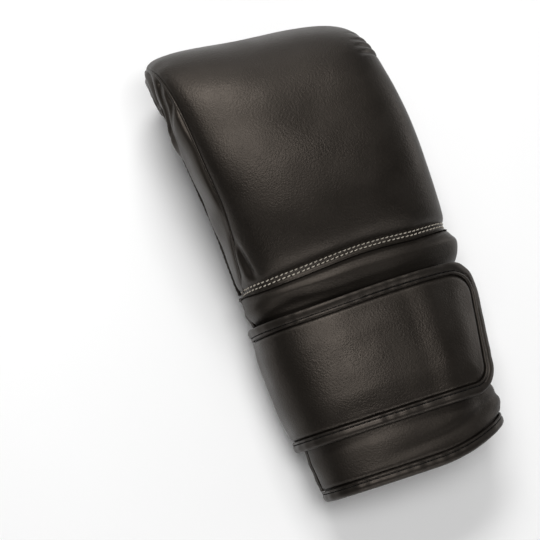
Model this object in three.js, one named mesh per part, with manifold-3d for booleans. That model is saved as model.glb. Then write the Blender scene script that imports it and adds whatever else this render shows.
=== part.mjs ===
// Left padded bag glove, lying palm down with the fist closed. Units are millimetres.
// X runs across the hand to the thumb side, Y from the cuff to the knuckles, Z up.
// The wrist seam lies in the plane y = 0 until the whole group is centred at the end.
import * as THREE from 'three';
import Module from 'manifold-3d';

const wasm = await Module();
wasm.setup();
const { Manifold, Mesh } = wasm;

// Main sizes of the glove.
const REACH = 136.5;
const HEIGHT = 91;
const HALF_WIDTH = 66;
const CUFF_LENGTH = 127;
const CUFF_HALF = 54;
const CUFF_HEIGHT = 61;

// Walls and gaps.
const PAD = 22;
const PALM_WALL = 3;
const SIDE_WALL = 5;
const CUFF_WALL = 6;
const SEAM_GAP = 0.2;
const PIECE_GAP = 0.35;
const PAD_ROUNDING = 9;
const PAD_TUCK = 2;

// Bound edges, pipings and the strap.
const TAPE = 0.9;
const BINDING_WIDTH = 6.4;
const BINDING_TUCK = 1.35;
const PIPING_RADIUS = 1.1;
const STRAP_TOP = -0.173 * CUFF_LENGTH;
const STRAP_LOW = -0.756 * CUFF_LENGTH;
const STRAP_THICK = 4.6;
const STRAP_FREE_ARC = 1.1 * CUFF_HALF;
const STRAP_SKEW = 5.5;
const STRAP_CORNER_TOP = 20;
const STRAP_CORNER_LOW = 15;
const STRAP_CORNER_PLAY = 0.2;
const ROLL_END = -0.189 * CUFF_LENGTH;

// Sideways bend of the fist and slant of its front.
const BEND = -14;
const SLANT = Math.tan(THREE.MathUtils.degToRad(4.2));

// Thumb sleeve.
const THUMB_OUTER = 14;
const THUMB_INNER = 10.4;

// One row for each section of the hand, from the wrist seam over the knuckles to the fingertips.
// Reach and height are shares of REACH and HEIGHT, widths of HALF_WIDTH, pad of PAD.
const HAND_COLUMNS = ['backY', 'backZ', 'palmY', 'palmZ', 'little', 'thumb', 'roundBack',
  'roundPalm', 'pad', 'backSeamLittle', 'palmSeamLittle', 'backSeamThumb', 'palmSeamThumb'];
const HAND = [
  [0, 0.747, 0, 0.077, 0.901, 0.998, 2.6, 2.4, 0.36, 180, 196, -6, -50],
  [0.095, 0.857, 0.095, 0.11, 0.935, 0.965, 2.8, 2.4, 0.73, 171, 196, -6, -52],
  [0.278, 0.956, 0.249, 0.242, 0.985, 0.921, 3, 2.4, 0.9, 161, 197, -6, -50],
  [0.513, 1, 0.41, 0.374, 1.04, 0.892, 3.2, 2.4, 1, 157, 198, -6, -40],
  [0.747, 0.956, 0.535, 0.462, 1.06, 0.88, 3.5, 2.4, 1, 152, 198, -6, -28],
  [0.912, 0.791, 0.615, 0.473, 1.036, 0.886, 4.7, 2.4, 0.98, 151, 199, -6, -20],
  [0.986, 0.527, 0.652, 0.418, 0.994, 0.852, 5.4, 2.6, 0.93, 158, 200, -6, -18],
  [0.955, 0.231, 0.63, 0.33, 0.918, 0.765, 4, 2.6, 0.86, 165, 198, -5, -16],
  [0.82, 0.033, 0.571, 0.286, 0.85, 0.675, 3, 2.6, 0.77, 172, 194, -4, -12],
  [0.667, -0.011, 0.505, 0.264, 0.79, 0.606, 3, 2.6, 0.7, 177, 185, -2, -7],
  [0.513, 0.044, 0.44, 0.242, 0.73, 0.545, 3, 2.6, 0.6, 180, 180, 0, 0],
  [0.414, 0.157, 0.41, 0.152, 0.56, 0.424, 3, 2.6, 0.5, 180, 180, 0, 0],
];

// One row for each station of the cuff: how far behind the seam, its top and low side as shares
// of CUFF_HEIGHT, its half width and its shift to the thumb side as shares of CUFF_HALF.
const CUFF_COLUMNS = ['behind', 'top', 'low', 'half', 'shift'];
const CUFF = [
  [0, 1.1, 0.095, 1.16, 0.048],
  [0.035, 1.093, 0.095, 1.165, 0.068],
  [0.065, 1.13, 0.085, 1.176, 0.08],
  [0.1, 1.145, 0.08, 1.173, 0.07],
  [0.15, 1.115, 0.08, 1.144, 0.073],
  [0.19, 1.07, 0.08, 1.1, 0.071],
  [0.24, 1.06, 0.08, 1.09, 0.072],
  [0.47, 1.045, 0.08, 1.065, 0.081],
  [0.77, 1.025, 0.08, 1.041, 0.107],
  [0.82, 1.035, 0.08, 1.053, 0.118],
  [0.91, 1.025, 0.08, 1.042, 0.129],
  [1, 1, 0.08, 1.015, 0.13],
];
const CUFF_ROUND = 2.6;
const HEM_RISE = 0.094 * CUFF_LENGTH;
const PATCH_SHARES = [0.197, 0.378, 0.551, 0.724];
const SLIT = { backAtSeam: 192.5, backAtHem: 188.5, palmAtSeam: 203, palmAtHem: 208 };

// Thumb sleeve line, from inside the hand to the tip, as shares of HALF_WIDTH, REACH and HEIGHT.
const THUMB_LINE = [[0.606, 0.103, 0.396], [0.773, 0.183, 0.33], [0.841, 0.3, 0.22],
  [0.826, 0.44, 0.181], [0.803, 0.571, 0.181]];

// Stations shared by the pieces of the hand, closer together where the corner is gathered.
const STATIONS = [0, 0.4, 0.9, 1.6, 2.3, 3, 3.7, 4.3, 4.75, 5, 5.25, 5.5, 5.75, 6, 6.25,
  6.5, 6.8, 7.3, 7.8, 8.3, 8.8, 9.25, 9.6, 10.1, 10.5];
const FINGER_SEAM = 5.75;
const FINGER_SEAM_HALF = 0.03;
const GATHER = { from: 4.6, to: 6.9, depth: 0.7 };
const PLEATS = { from: 4.9, to: 6.1, depth: 0.9 };

const rad = (degrees) => THREE.MathUtils.degToRad(degrees);
const clamp = THREE.MathUtils.clamp;
const lerp = THREE.MathUtils.lerp;
const smooth = (x) => THREE.MathUtils.smoothstep(x, 0, 1);
const vec = (x, y, z) => new THREE.Vector3(x, y, z);
const signedPower = (v, p) => Math.sign(v) * Math.abs(v) ** p;

function spline(values, t) {
  const last = values.length - 1;
  const k = clamp(Math.floor(t), 0, last - 1);
  const u = t - k;
  const p1 = values[k];
  const p2 = values[k + 1];
  const p0 = k > 0 ? values[k - 1] : 2 * p1 - p2;
  const p3 = k < last - 1 ? values[k + 2] : 2 * p2 - p1;
  const rise = (p2 - p0) * u + (2 * p0 - 5 * p1 + 4 * p2 - p3) * u * u;
  return p1 + 0.5 * (rise + (3 * p1 - p0 - 3 * p2 + p3) * u ** 3);
}

const columnOf = (rows, columns, name) => rows.map((row) => row[columns.indexOf(name)]);
const HAND_TABLE = Object.fromEntries(
  HAND_COLUMNS.map((name) => [name, columnOf(HAND, HAND_COLUMNS, name)]));
const CUFF_TABLE = Object.fromEntries(
  CUFF_COLUMNS.map((name) => [name, columnOf(CUFF, CUFF_COLUMNS, name)]));
const handValue = (name, s) => spline(HAND_TABLE[name], s);

// Seam angle on a section, in radians. Beyond the gussets both seams run along the sides.
function seam(name, s) {
  const angle = handValue(name, s);
  if (name === 'backSeamLittle') return rad(Math.min(angle, 180));
  if (name === 'palmSeamLittle') return rad(Math.max(angle, 180));
  return rad(Math.min(angle, 0));
}

// A section of the hand: its middle, its half height as a vector and its half widths.
function handSection(s, inner, grow = 0) {
  let backY = handValue('backY', s) * REACH;
  let backZ = handValue('backZ', s) * HEIGHT;
  let palmY = handValue('palmY', s) * REACH;
  let palmZ = handValue('palmZ', s) * HEIGHT;
  const tall = Math.hypot(backY - palmY, backZ - palmZ);
  const up = [(backY - palmY) / tall, (backZ - palmZ) / tall];
  let little = handValue('little', s) * HALF_WIDTH + grow;
  let thumb = handValue('thumb', s) * HALF_WIDTH + grow;
  let offBack = -grow;
  let offPalm = -grow;
  if (inner) {
    offPalm = Math.min(PALM_WALL, tall * 0.3);
    offBack = Math.min(handValue('pad', s) * PAD, tall - offPalm - 0.8);
    little -= SIDE_WALL;
    thumb -= SIDE_WALL;
  }
  backY -= up[0] * offBack;
  backZ -= up[1] * offBack;
  palmY += up[0] * offPalm;
  palmZ += up[1] * offPalm;
  return {
    midY: (backY + palmY) / 2, midZ: (backZ + palmZ) / 2,
    halfY: (backY - palmY) / 2, halfZ: (backZ - palmZ) / 2,
    little, thumb, roundBack: handValue('roundBack', s), roundPalm: handValue('roundPalm', s),
    floor: inner ? -Infinity : 0,
  };
}

// Point of a section at an angle: 90 degrees is the back of the hand, 0 the thumb side.
function handPoint(section, angle) {
  const c = Math.cos(angle);
  const q = Math.sin(angle);
  const power = 2 / (q > 0 ? section.roundBack : section.roundPalm);
  const side = signedPower(c, power) * (c > 0 ? section.thumb : section.little);
  const high = signedPower(q, power);
  const flatY = section.midY + section.halfY * high;
  const z = section.midZ + section.halfZ * high;
  const along = clamp(flatY / REACH, 0, 1.1);
  const x = side + BEND * along ** 2;
  return vec(x, flatY - SLANT * x * clamp(along, 0, 1), Math.max(z, section.floor));
}

// Angles that share out the arc of a section evenly between two seams, a gap in from each.
function evenAngles(section, from, to, shares) {
  const steps = 160;
  const lengths = [0];
  let before = handPoint(section, from);
  for (let k = 1; k <= steps; k += 1) {
    const next = handPoint(section, lerp(from, to, k / steps));
    lengths.push(lengths[k - 1] + next.distanceTo(before));
    before = next;
  }
  const total = lengths[steps];
  const gap = Math.min(SEAM_GAP, total * 0.4);
  return shares.map((share) => {
    const wanted = lerp(gap, total - gap, share);
    const k = clamp(lengths.findIndex((length) => length >= wanted), 1, steps);
    const part = (wanted - lengths[k - 1]) / (lengths[k] - lengths[k - 1]);
    return { angle: lerp(from, to, (k - 1 + part) / steps), reach: Math.min(wanted, total - wanted) };
  });
}

// Closed solid from triangles; points that coincide become one and flat triangles go.
function meshOf(name, triangles, material) {
  const keys = new Map();
  const points = [];
  const index = [];
  const idOf = (p) => {
    const key = `${p.x.toFixed(4)} ${p.y.toFixed(4)} ${p.z.toFixed(4)}`;
    if (!keys.has(key)) {
      keys.set(key, points.length);
      points.push(p);
    }
    return keys.get(key);
  };
  for (const triangle of triangles) {
    const [a, b, c] = triangle.map(idOf);
    if (a !== b && b !== c && c !== a) index.push([a, b, c]);
  }
  let volume = 0;
  for (const [a, b, c] of index) {
    volume += points[a].dot(points[b].clone().cross(points[c]));
  }
  const faces = volume > 0 ? index : index.map(([a, b, c]) => [a, c, b]);
  const geometry = new THREE.BufferGeometry();
  const flat = points.flatMap((p) => [p.x, p.y, p.z]);
  geometry.setAttribute('position', new THREE.Float32BufferAttribute(flat, 3));
  geometry.setIndex(faces.flat());
  geometry.computeVertexNormals();
  const mesh = new THREE.Mesh(geometry, material);
  mesh.name = name;
  return mesh;
}

function quad(list, a, b, c, d) {
  list.push([a, b, c], [a, c, d]);
}

// Padded sheet between an outer and an inner grid of points, closed round its four edges.
function sheet(outer, inner) {
  const list = [];
  const rows = outer.length - 1;
  const cols = outer[0].length - 1;
  for (let i = 0; i < rows; i += 1) {
    for (let j = 0; j < cols; j += 1) {
      quad(list, outer[i][j], outer[i + 1][j], outer[i + 1][j + 1], outer[i][j + 1]);
      quad(list, inner[i][j], inner[i][j + 1], inner[i + 1][j + 1], inner[i + 1][j]);
    }
    quad(list, outer[i][0], inner[i][0], inner[i + 1][0], outer[i + 1][0]);
    quad(list, outer[i][cols], outer[i + 1][cols], inner[i + 1][cols], inner[i][cols]);
  }
  for (let j = 0; j < cols; j += 1) {
    quad(list, outer[0][j + 1], inner[0][j + 1], inner[0][j], outer[0][j]);
    quad(list, outer[rows][j], inner[rows][j], inner[rows][j + 1], outer[rows][j + 1]);
  }
  return list;
}

// Solid swept through rings of points, with its two ends filled from a flat outline.
function swept(rings, outline) {
  const list = [];
  const count = outline.length;
  for (let i = 0; i + 1 < rings.length; i += 1) {
    for (let j = 0; j < count; j += 1) {
      const k = (j + 1) % count;
      quad(list, rings[i][j], rings[i][k], rings[i + 1][k], rings[i + 1][j]);
    }
  }
  const caps = THREE.ShapeUtils.triangulateShape(outline, []);
  const end = rings[rings.length - 1];
  for (const [a, b, c] of caps) {
    const turn = (outline[b].x - outline[a].x) * (outline[c].y - outline[a].y)
      - (outline[b].y - outline[a].y) * (outline[c].x - outline[a].x);
    const [p, q] = turn > 0 ? [b, c] : [c, b];
    list.push([rings[0][a], rings[0][q], rings[0][p]], [end[a], end[p], end[q]]);
  }
  return list;
}

// Piece of the hand between two seams. The tuck draws its padded face in near the edges.
function handPiece(stations, fromSeam, toSeam, count, tuckDepth, ripple) {
  const shares = Array.from({ length: count + 1 }, (_, j) => {
    const even = j / count;
    return lerp(even, (1 - Math.cos(Math.PI * even)) / 2, tuckDepth > 1.7 ? 0.45 : 0);
  });
  const outer = [];
  const inner = [];
  for (const s of stations) {
    const skin = handSection(s, false);
    const lining = handSection(s, true);
    const from = fromSeam(s);
    const to = toSeam(s);
    const onSkin = evenAngles(skin, from, to, shares);
    const onLining = evenAngles(lining, from, to, shares);
    const innerRow = onLining.map(({ angle }) => handPoint(lining, angle));
    const outerRow = onSkin.map(({ angle, reach }, j) => {
      const point = handPoint(skin, angle);
      const tuck = tuckDepth * (1 - smooth(reach / PAD_ROUNDING));
      const depth = tuck + ripple(s, shares[j]) * smooth(reach / 4);
      const inward = innerRow[j].clone().sub(point);
      const room = inward.length();
      return point.addScaledVector(inward.normalize(), clamp(depth, -2, room * 0.5));
    });
    outer.push(outerRow);
    inner.push(innerRow);
  }
  return sheet(outer, inner);
}

// Small folds that run across the stations between two of them.
function folds({ from, to, depth }, s) {
  const window = smooth((s - from) / 0.4) * smooth((to - s) / 0.4);
  return depth * window * Math.cos(Math.PI * (s - from - 0.15) / 0.25);
}

// Place on the cuff: arc across it from the middle of the back, distance along y, height.
function cuffSection(y) {
  const share = clamp(-y / CUFF_LENGTH, 0, 1);
  const { behind } = CUFF_TABLE;
  const k = clamp(behind.findIndex((edge) => edge >= share), 1, behind.length - 1);
  const t = k - 1 + (share - behind[k - 1]) / (behind[k] - behind[k - 1]);
  const top = spline(CUFF_TABLE.top, t) * CUFF_HEIGHT;
  const low = spline(CUFF_TABLE.low, t) * CUFF_HEIGHT;
  return {
    half: spline(CUFF_TABLE.half, t) * CUFF_HALF, shift: spline(CUFF_TABLE.shift, t) * CUFF_HALF,
    mid: (top + low) / 2, tall: (top - low) / 2,
  };
}

function cuffPoint(angle, y, lift) {
  const at = cuffSection(y);
  const x = (at.half + lift) * signedPower(Math.cos(angle), 2 / CUFF_ROUND) + at.shift;
  const z = at.mid + (at.tall + lift) * signedPower(Math.sin(angle), 2 / CUFF_ROUND);
  return vec(x, y, Math.max(z, 0));
}

// Angle against arc length round the cuff, counted from the middle of the back to the thumb side.
const FIRST_ANGLE = -165;
const LAST_ANGLE = 335;
const FULL_TURN = 360;
const ARC_MEASURED_AT = { y: (STRAP_TOP + STRAP_LOW) / 2, lift: 2 };
const arcAngles = Array.from(
  { length: LAST_ANGLE - FIRST_ANGLE + 1 }, (_, k) => rad(FIRST_ANGLE + k));
const arcLengths = [0];
for (let k = 1; k < arcAngles.length; k += 1) {
  const { y, lift } = ARC_MEASURED_AT;
  const step = cuffPoint(arcAngles[k], y, lift).distanceTo(cuffPoint(arcAngles[k - 1], y, lift));
  arcLengths.push(arcLengths[k - 1] + step);
}
const MIDDLE_ARC = arcLengths[90 - FIRST_ANGLE];

function angleAt(arc) {
  const wanted = MIDDLE_ARC - arc;
  const k = clamp(arcLengths.findIndex((length) => length >= wanted), 1, arcLengths.length - 1);
  const part = (wanted - arcLengths[k - 1]) / (arcLengths[k] - arcLengths[k - 1]);
  return lerp(arcAngles[k - 1], arcAngles[k], part);
}

function arcAt(degrees) {
  const place = degrees - FIRST_ANGLE;
  const k = clamp(Math.floor(place), 0, arcLengths.length - 2);
  return MIDDLE_ARC - lerp(arcLengths[k], arcLengths[k + 1], place - k);
}

const onCuff = (arc, y, lift) => cuffPoint(angleAt(arc), y, lift);

// Places round the cuff where its pieces, the strap and the bindings all have their points.
const MARK_DEGREES = [180, 172, 165, 158, 150, 140, 128, 114, 98, 82, 66, 52, 40, 30, 22, 15, 8, 0,
  -8, -15, -22, -30, -40, -52, -66, -82, -98, -114, -128, -139];
const PALM_MARK_DEGREES = [286, 278, 262, 246, 232, 221, 214, 208, 202, 195, 188];
const marks = MARK_DEGREES.map(arcAt);
const palmMarks = PALM_MARK_DEGREES.map(arcAt);

// The slit on the little-finger side, and the hem that rises towards the thumb side.
const slitBack = (y) => arcAt(lerp(SLIT.backAtSeam, SLIT.backAtHem, -y / CUFF_LENGTH));
const slitPalm = (y) => arcAt(lerp(SLIT.palmAtSeam, SLIT.palmAtHem, -y / CUFF_LENGTH) - FULL_TURN);
function hemAt(arc) {
  const side = signedPower(Math.cos(angleAt(arc)), 2 / CUFF_ROUND);
  return -CUFF_LENGTH + HEM_RISE * clamp((side - 0.1) / 0.9, 0, 1) ** 2;
}

// The wall is thinner where a binding wraps its edge.
const edgeTuck = (reach) => BINDING_TUCK * (1 - smooth((reach - 6.8) / 2.6));
const EDGE_START = TAPE + PIECE_GAP;

// Sheet of the cuff between two distances behind the seam, open along the slit.
function cuffPiece(columns, yFrom, yTo, yRows, hemBound) {
  const outer = [];
  const inner = [];
  for (const column of columns) {
    const outerRow = [];
    const innerRow = [];
    for (const row of yRows) {
      const guess = onCuffEdge(column, lerp(yFrom, -CUFF_LENGTH, row.share));
      const low = yTo(guess);
      const y = lerp(yFrom, low, row.share) + row.offset;
      const arc = onCuffEdge(column, y);
      const reaches = [arc - slitBack(y), slitPalm(y) - arc];
      if (hemBound) reaches.push(y - hemAt(arc));
      const tuck = Math.max(...reaches.map(edgeTuck));
      outerRow.push(onCuff(arc, y, -tuck));
      innerRow.push(onCuff(arc, y, tuck - CUFF_WALL));
    }
    outer.push(outerRow);
    inner.push(innerRow);
  }
  return sheet(outer, inner);
}

function onCuffEdge(column, y) {
  if (column.mark !== undefined) return column.mark;
  return column.back ? slitBack(y) + column.reach : slitPalm(y) - column.reach;
}

// Outline of a folded tape: across from its nose, and height between the two faces.
function tapeOutline(top, low) {
  const w = BINDING_WIDTH;
  const t = TAPE;
  return [[w, top], [1.5, top], [0, top - 1.5], [0, low + 1.5], [1.5, low], [w, low],
    [w, low + t], [t, low + t], [t, top - t], [w, top - t]].map(([x, y]) => new THREE.Vector2(x, y));
}

// Binding along a path of { arc, y, toArc, toY }, the last two pointing into the sheet.
function bindingAlong(path, place, top, low) {
  const outline = tapeOutline(top, low);
  const rings = path.map((at) => outline.map((corner) => (
    place(at.arc + at.toArc * corner.x, at.y + at.toY * corner.x, corner.y))));
  return swept(rings, outline);
}

// The strap: how far it stands off the cuff, its edge bow and its rounded, slanted free end.
const STRAP_MIDDLE = (STRAP_TOP + STRAP_LOW) / 2;
const STRAP_HALF = (STRAP_TOP - STRAP_LOW) / 2;
const LIFT = { closed: 0.4, patch: 1.4, patchFrom: 14, end: 3, endFrom: 34, endSlant: 0.35 };
const BOW = { depth: 2, middle: 20, reach: 45 };
function strapBase(arc, across) {
  const overPatch = LIFT.patch * smooth((arc - LIFT.patchFrom) / 14);
  const slant = 1 + LIFT.endSlant * (across / STRAP_HALF);
  return LIFT.closed + overPatch + LIFT.end * smooth((arc - LIFT.endFrom) / 28) * slant;
}

function onStrap(arc, across, lift) {
  const bow = BOW.depth * Math.exp(-(((arc - BOW.middle) / BOW.reach) ** 2));
  const y = STRAP_MIDDLE + across + bow * smooth((across + STRAP_HALF) / (2 * STRAP_HALF));
  const skew = STRAP_SKEW * (across / STRAP_HALF) * smooth((arc - 12) / 44);
  return onCuff(arc + skew, y, strapBase(arc, across) + lift);
}

const SIDE_TOP = STRAP_FREE_ARC - STRAP_CORNER_TOP;
const SIDE_LOW = STRAP_FREE_ARC - STRAP_CORNER_LOW;
const CORNER_TURNS = [0, 15, 30, 45, 60, 75];
const strapMarks = [...palmMarks, ...marks.filter((arc) => arc < SIDE_TOP - 3), SIDE_TOP];

function strapOutline() {
  const lowEdge = [...strapMarks, SIDE_LOW].map((arc) => [arc, -STRAP_HALF, 0, 1]);
  const highEdge = strapMarks.map((arc) => [arc, STRAP_HALF, 0, -1]).reverse();
  const corner = (turn, radius, middle) => {
    const c = Math.cos(rad(turn));
    const q = Math.sin(rad(turn));
    return [STRAP_FREE_ARC - radius + radius * c, middle + radius * q, -c, -q];
  };
  const lowTurns = CORNER_TURNS.map((turn) => -turn).reverse();
  const path = [...lowEdge,
    ...lowTurns.map((turn) => corner(turn, STRAP_CORNER_LOW, STRAP_CORNER_LOW - STRAP_HALF)),
    [STRAP_FREE_ARC, 0, -1, 0],
    ...CORNER_TURNS.map((turn) => corner(turn, STRAP_CORNER_TOP, STRAP_HALF - STRAP_CORNER_TOP)),
    ...highEdge];
  return path.map(([arc, y, toArc, toY]) => ({ arc, y, toArc, toY }));
}

// Distance from a place on the strap to the nearest part of its outline.
function strapReach(arc, across) {
  const radius = across > 0 ? STRAP_CORNER_TOP : STRAP_CORNER_LOW;
  const past = arc - (STRAP_FREE_ARC - radius);
  const aside = Math.abs(across) - (STRAP_HALF - radius);
  if (past > 0 && aside > 0) return radius - Math.hypot(past, aside);
  return Math.min(STRAP_HALF - Math.abs(across), STRAP_FREE_ARC - arc);
}

function strapPanel() {
  const inset = (radius, arc) => {
    const inner = radius - EDGE_START - STRAP_CORNER_PLAY;
    const past = Math.max(arc - (STRAP_FREE_ARC - radius), 0);
    return STRAP_HALF - radius + Math.sqrt(Math.max(inner ** 2 - past ** 2, 0));
  };
  const ends = [15, 30, 45, 60, 75, 90].map((turn) => (
    SIDE_TOP + (STRAP_CORNER_TOP - EDGE_START - STRAP_CORNER_PLAY) * Math.sin(rad(turn))));
  const spread = [-1, -0.86, -0.78, -0.6, 0, 0.6, 0.78, 0.86, 1];
  const outer = [];
  const inner = [];
  for (const arc of [...strapMarks, ...ends]) {
    const low = -inset(STRAP_CORNER_LOW, arc);
    const high = inset(STRAP_CORNER_TOP, arc);
    const rows = spread.map((share) => {
      const across = lerp(low, high, (share + 1) / 2);
      const reach = strapReach(arc, across);
      const tuck = arc > SIDE_TOP - 1 ? 1.15 * edgeTuck(reach - 5) : edgeTuck(reach);
      return { across, tuck, puff: 0.7 * smooth((reach - 8) / 22) };
    });
    outer.push(rows.map((row) => onStrap(arc, row.across, STRAP_THICK + row.puff - row.tuck)));
    inner.push(rows.map((row) => onStrap(arc, row.across, row.tuck)));
  }
  return sheet(outer, inner);
}

// Thumb sleeve round a bent line, closed at the tip; a half is the part above or below it.
const thumbCurve = new THREE.CatmullRomCurve3(
  THUMB_LINE.map(([x, y, z]) => vec(x * HALF_WIDTH, y * REACH, z * HEIGHT)));
function thumbRing(k, radius, angles, shift) {
  const along = Math.min(k / 10, 1);
  const cap = rad(clamp(k - 10, 0, 5) * 18);
  const ahead = thumbCurve.getTangentAt(along);
  const up = vec(0, 0, 1).addScaledVector(ahead, -ahead.z).normalize();
  const side = ahead.clone().cross(up);
  const middle = thumbCurve.getPointAt(along).addScaledVector(ahead, radius * Math.sin(cap));
  const r = radius * (cap > rad(89) ? 0 : Math.cos(cap));
  return angles.map((angle) => middle.clone()
    .addScaledVector(side, r * Math.cos(angle))
    .addScaledVector(up, r * Math.sin(angle) + shift));
}

function thumbHalf(from, shift) {
  const angles = Array.from({ length: 9 }, (_, j) => rad(from + 22.5 * j));
  const rows = Array.from({ length: 16 }, (_, k) => k);
  const outer = rows.map((k) => thumbRing(k, THUMB_OUTER, angles, shift));
  const inner = rows.map((k) => thumbRing(k, THUMB_INNER, angles, shift));
  return sheet(outer, inner);
}

// Closed solid through whole rings, each end filled from its middle.
function closedRings(rings) {
  const list = [];
  const fill = (ring, flip) => {
    const middle = ring.reduce((sum, p) => sum.add(p), vec(0, 0, 0)).divideScalar(ring.length);
    ring.forEach((p, j) => {
      const next = ring[(j + 1) % ring.length];
      list.push(flip ? [middle, next, p] : [middle, p, next]);
    });
  };
  for (let i = 0; i + 1 < rings.length; i += 1) {
    rings[i].forEach((p, j) => {
      const k = (j + 1) % rings[i].length;
      quad(list, p, rings[i][k], rings[i + 1][k], rings[i + 1][j]);
    });
  }
  fill(rings[0], true);
  fill(rings[rings.length - 1], false);
  return list;
}

function toManifold(mesh) {
  const position = mesh.geometry.getAttribute('position');
  const data = new Mesh({
    numProp: 3,
    vertProperties: new Float32Array(position.array),
    triVerts: new Uint32Array(mesh.geometry.getIndex().array),
  });
  data.merge();
  return Manifold.ofMesh(data);
}

function cut(mesh, tool) {
  const result = toManifold(mesh).subtract(tool).getMesh();
  const geometry = new THREE.BufferGeometry();
  const points = new Float32Array(result.vertProperties);
  geometry.setAttribute('position', new THREE.BufferAttribute(points, 3));
  geometry.setIndex(Array.from(result.triVerts));
  geometry.computeVertexNormals();
  const made = new THREE.Mesh(geometry, mesh.material);
  made.name = mesh.name;
  return made;
}

const turnOf = (count) => Array.from({ length: count }, (_, j) => (2 * Math.PI * j) / count);
const plain = new THREE.MeshStandardMaterial();
const envelope = toManifold(meshOf('envelope', closedRings(
  Array.from({ length: 34 }, (_, k) => {
    const section = handSection(Math.min(k / 3, 10.9), false, PIECE_GAP);
    return turnOf(40).map((angle) => handPoint({ ...section, floor: -Infinity }, angle));
  })), plain));
const thumbHollow = toManifold(meshOf('hollow', closedRings(
  Array.from({ length: 15 }, (_, k) => thumbRing(k, THUMB_INNER, turnOf(20), 0))), plain));

const leather = (name, shade) => new THREE.MeshStandardMaterial({
  name, color: shade, roughness: 0.5, metalness: 0,
});
const still = () => 0;
const pieces = [];
const add = (name, triangles, material) => {
  pieces.push(meshOf(name, triangles, material));
  return pieces[pieces.length - 1];
};

// Hand: back pad, two side strips and the palm side in two panels.
const PAD_STATIONS = STATIONS;
const GUSSET_STATIONS = STATIONS.filter((s) => s < 9.7);
const gathered = (s) => folds(GATHER, s);
const pleated = (s, share) => folds(PLEATS, s) * smooth((0.2 - share) / 0.1);
const backThumb = (s) => seam('backSeamThumb', s);
const backLittle = (s) => seam('backSeamLittle', s);
const palmLittle = (s) => seam('palmSeamLittle', s);
const palmThumb = (s) => seam('palmSeamThumb', s);
add('back_pad', handPiece(PAD_STATIONS, backThumb, backLittle, 18, PAD_TUCK, pleated),
  leather('pad_leather', 0x1c1b1a));
add('little_finger_side', handPiece(GUSSET_STATIONS, backLittle, palmLittle, 4, 1.6, gathered),
  leather('side_leather', 0x252322));
const thumbSide = meshOf('thumb_side',
  handPiece(GUSSET_STATIONS, palmThumb, backThumb, 5, 1.6, still), leather('side_leather', 0x252322));
pieces.push(cut(thumbSide, thumbHollow));
const turnedPalm = (s) => palmThumb(s) + 2 * Math.PI;
const PALM_STATIONS = [...STATIONS.filter((s) => s < FINGER_SEAM), FINGER_SEAM - FINGER_SEAM_HALF];
const FINGER_STATIONS = [FINGER_SEAM + FINGER_SEAM_HALF, ...STATIONS.filter((s) => s > FINGER_SEAM)];
const palm = meshOf('palm_panel',
  handPiece(PALM_STATIONS, palmLittle, turnedPalm, 11, 1.2, still), leather('palm_leather', 0x1f1e1d));
pieces.push(cut(palm, thumbHollow));
add('finger_panel', handPiece(FINGER_STATIONS, palmLittle, turnedPalm, 11, 1.2, still),
  leather('palm_leather', 0x1f1e1d));

// Pipings along three of the seams, each seated just clear of the two drawn-in edges.
function skinNormal(s, angle) {
  const at = (ds, da) => handPoint({ ...handSection(s + ds, false), floor: -Infinity }, angle + da);
  const along = at(0.02, 0).sub(at(-0.02, 0));
  const across = at(0, 0.01).sub(at(0, -0.01));
  return across.cross(along).normalize();
}

function pipingAlong(name, seamAt, sink, last) {
  const radius = PIPING_RADIUS;
  const outline = Array.from({ length: 6 }, (_, j) => {
    const angle = rad(60 * j + 30);
    return new THREE.Vector2(radius * Math.cos(angle), radius * Math.sin(angle));
  });
  const stations = STATIONS.filter((s) => s > 0 && s < last);
  const middles = stations.map((s) => {
    const skin = handPoint(handSection(s, false), seamAt(s));
    const inside = handPoint(handSection(s, true), seamAt(s));
    const normal = skinNormal(s, seamAt(s));
    if (normal.dot(inside.sub(skin)) > 0) normal.negate();
    return { at: skin.addScaledVector(normal, radius + 0.45 - sink), normal };
  });
  const rings = middles.map(({ at, normal }, k) => {
    const before = middles[Math.max(k - 1, 0)].at;
    const after = middles[Math.min(k + 1, middles.length - 1)].at;
    const ahead = after.clone().sub(before).normalize();
    const side = ahead.clone().cross(normal).normalize();
    const out = side.clone().cross(ahead);
    return outline.map((p) => at.clone().addScaledVector(side, p.x).addScaledVector(out, p.y));
  });
  add(name, swept(rings, outline), leather('piping_leather', 0x151413));
}
pipingAlong('back_piping_little', backLittle, 1.1, 10.2);
pipingAlong('palm_piping_little', palmLittle, 0.8, 8.9);
pipingAlong('back_piping_thumb', backThumb, 1.1, 10.2);

// Thumb sleeve in two halves, open into the hand.
const upper = meshOf('thumb_back', thumbHalf(0, SEAM_GAP), leather('thumb_leather', 0x1c1b1a));
const lower = meshOf('thumb_palm', thumbHalf(180, -SEAM_GAP), leather('thumb_leather', 0x1f1e1d));
pieces.push(cut(upper, envelope), cut(lower, envelope));

// Cuff: wrist roll, main sheet and bound edges.
const edgeReaches = [EDGE_START, 6.9, 9.4];
const columns = [
  ...edgeReaches.map((reach) => ({ back: true, reach })),
  ...marks.map((mark) => ({ mark })),
  ...edgeReaches.map((reach) => ({ back: false, reach })).reverse(),
];
const rollRows = [0, 0.17, 0.3, 0.52, 0.78, 1].map((share) => ({ share, offset: 0 }));
const cuffRows = [
  ...[0, 0.35, 0.68, 0.82].map((share) => ({ share, offset: 0 })),
  ...[8.2, 5.7, 0].map((offset) => ({ share: 1, offset })),
];
const hemEdge = (arc) => hemAt(arc) + EDGE_START;
add('wrist_roll', cuffPiece(columns, -PIECE_GAP, () => ROLL_END, rollRows, false),
  leather('cuff_leather', 0x1d1c1b));
add('cuff', cuffPiece(columns, ROLL_END - PIECE_GAP, hemEdge, cuffRows, true),
  leather('cuff_leather', 0x1d1c1b));

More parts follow.
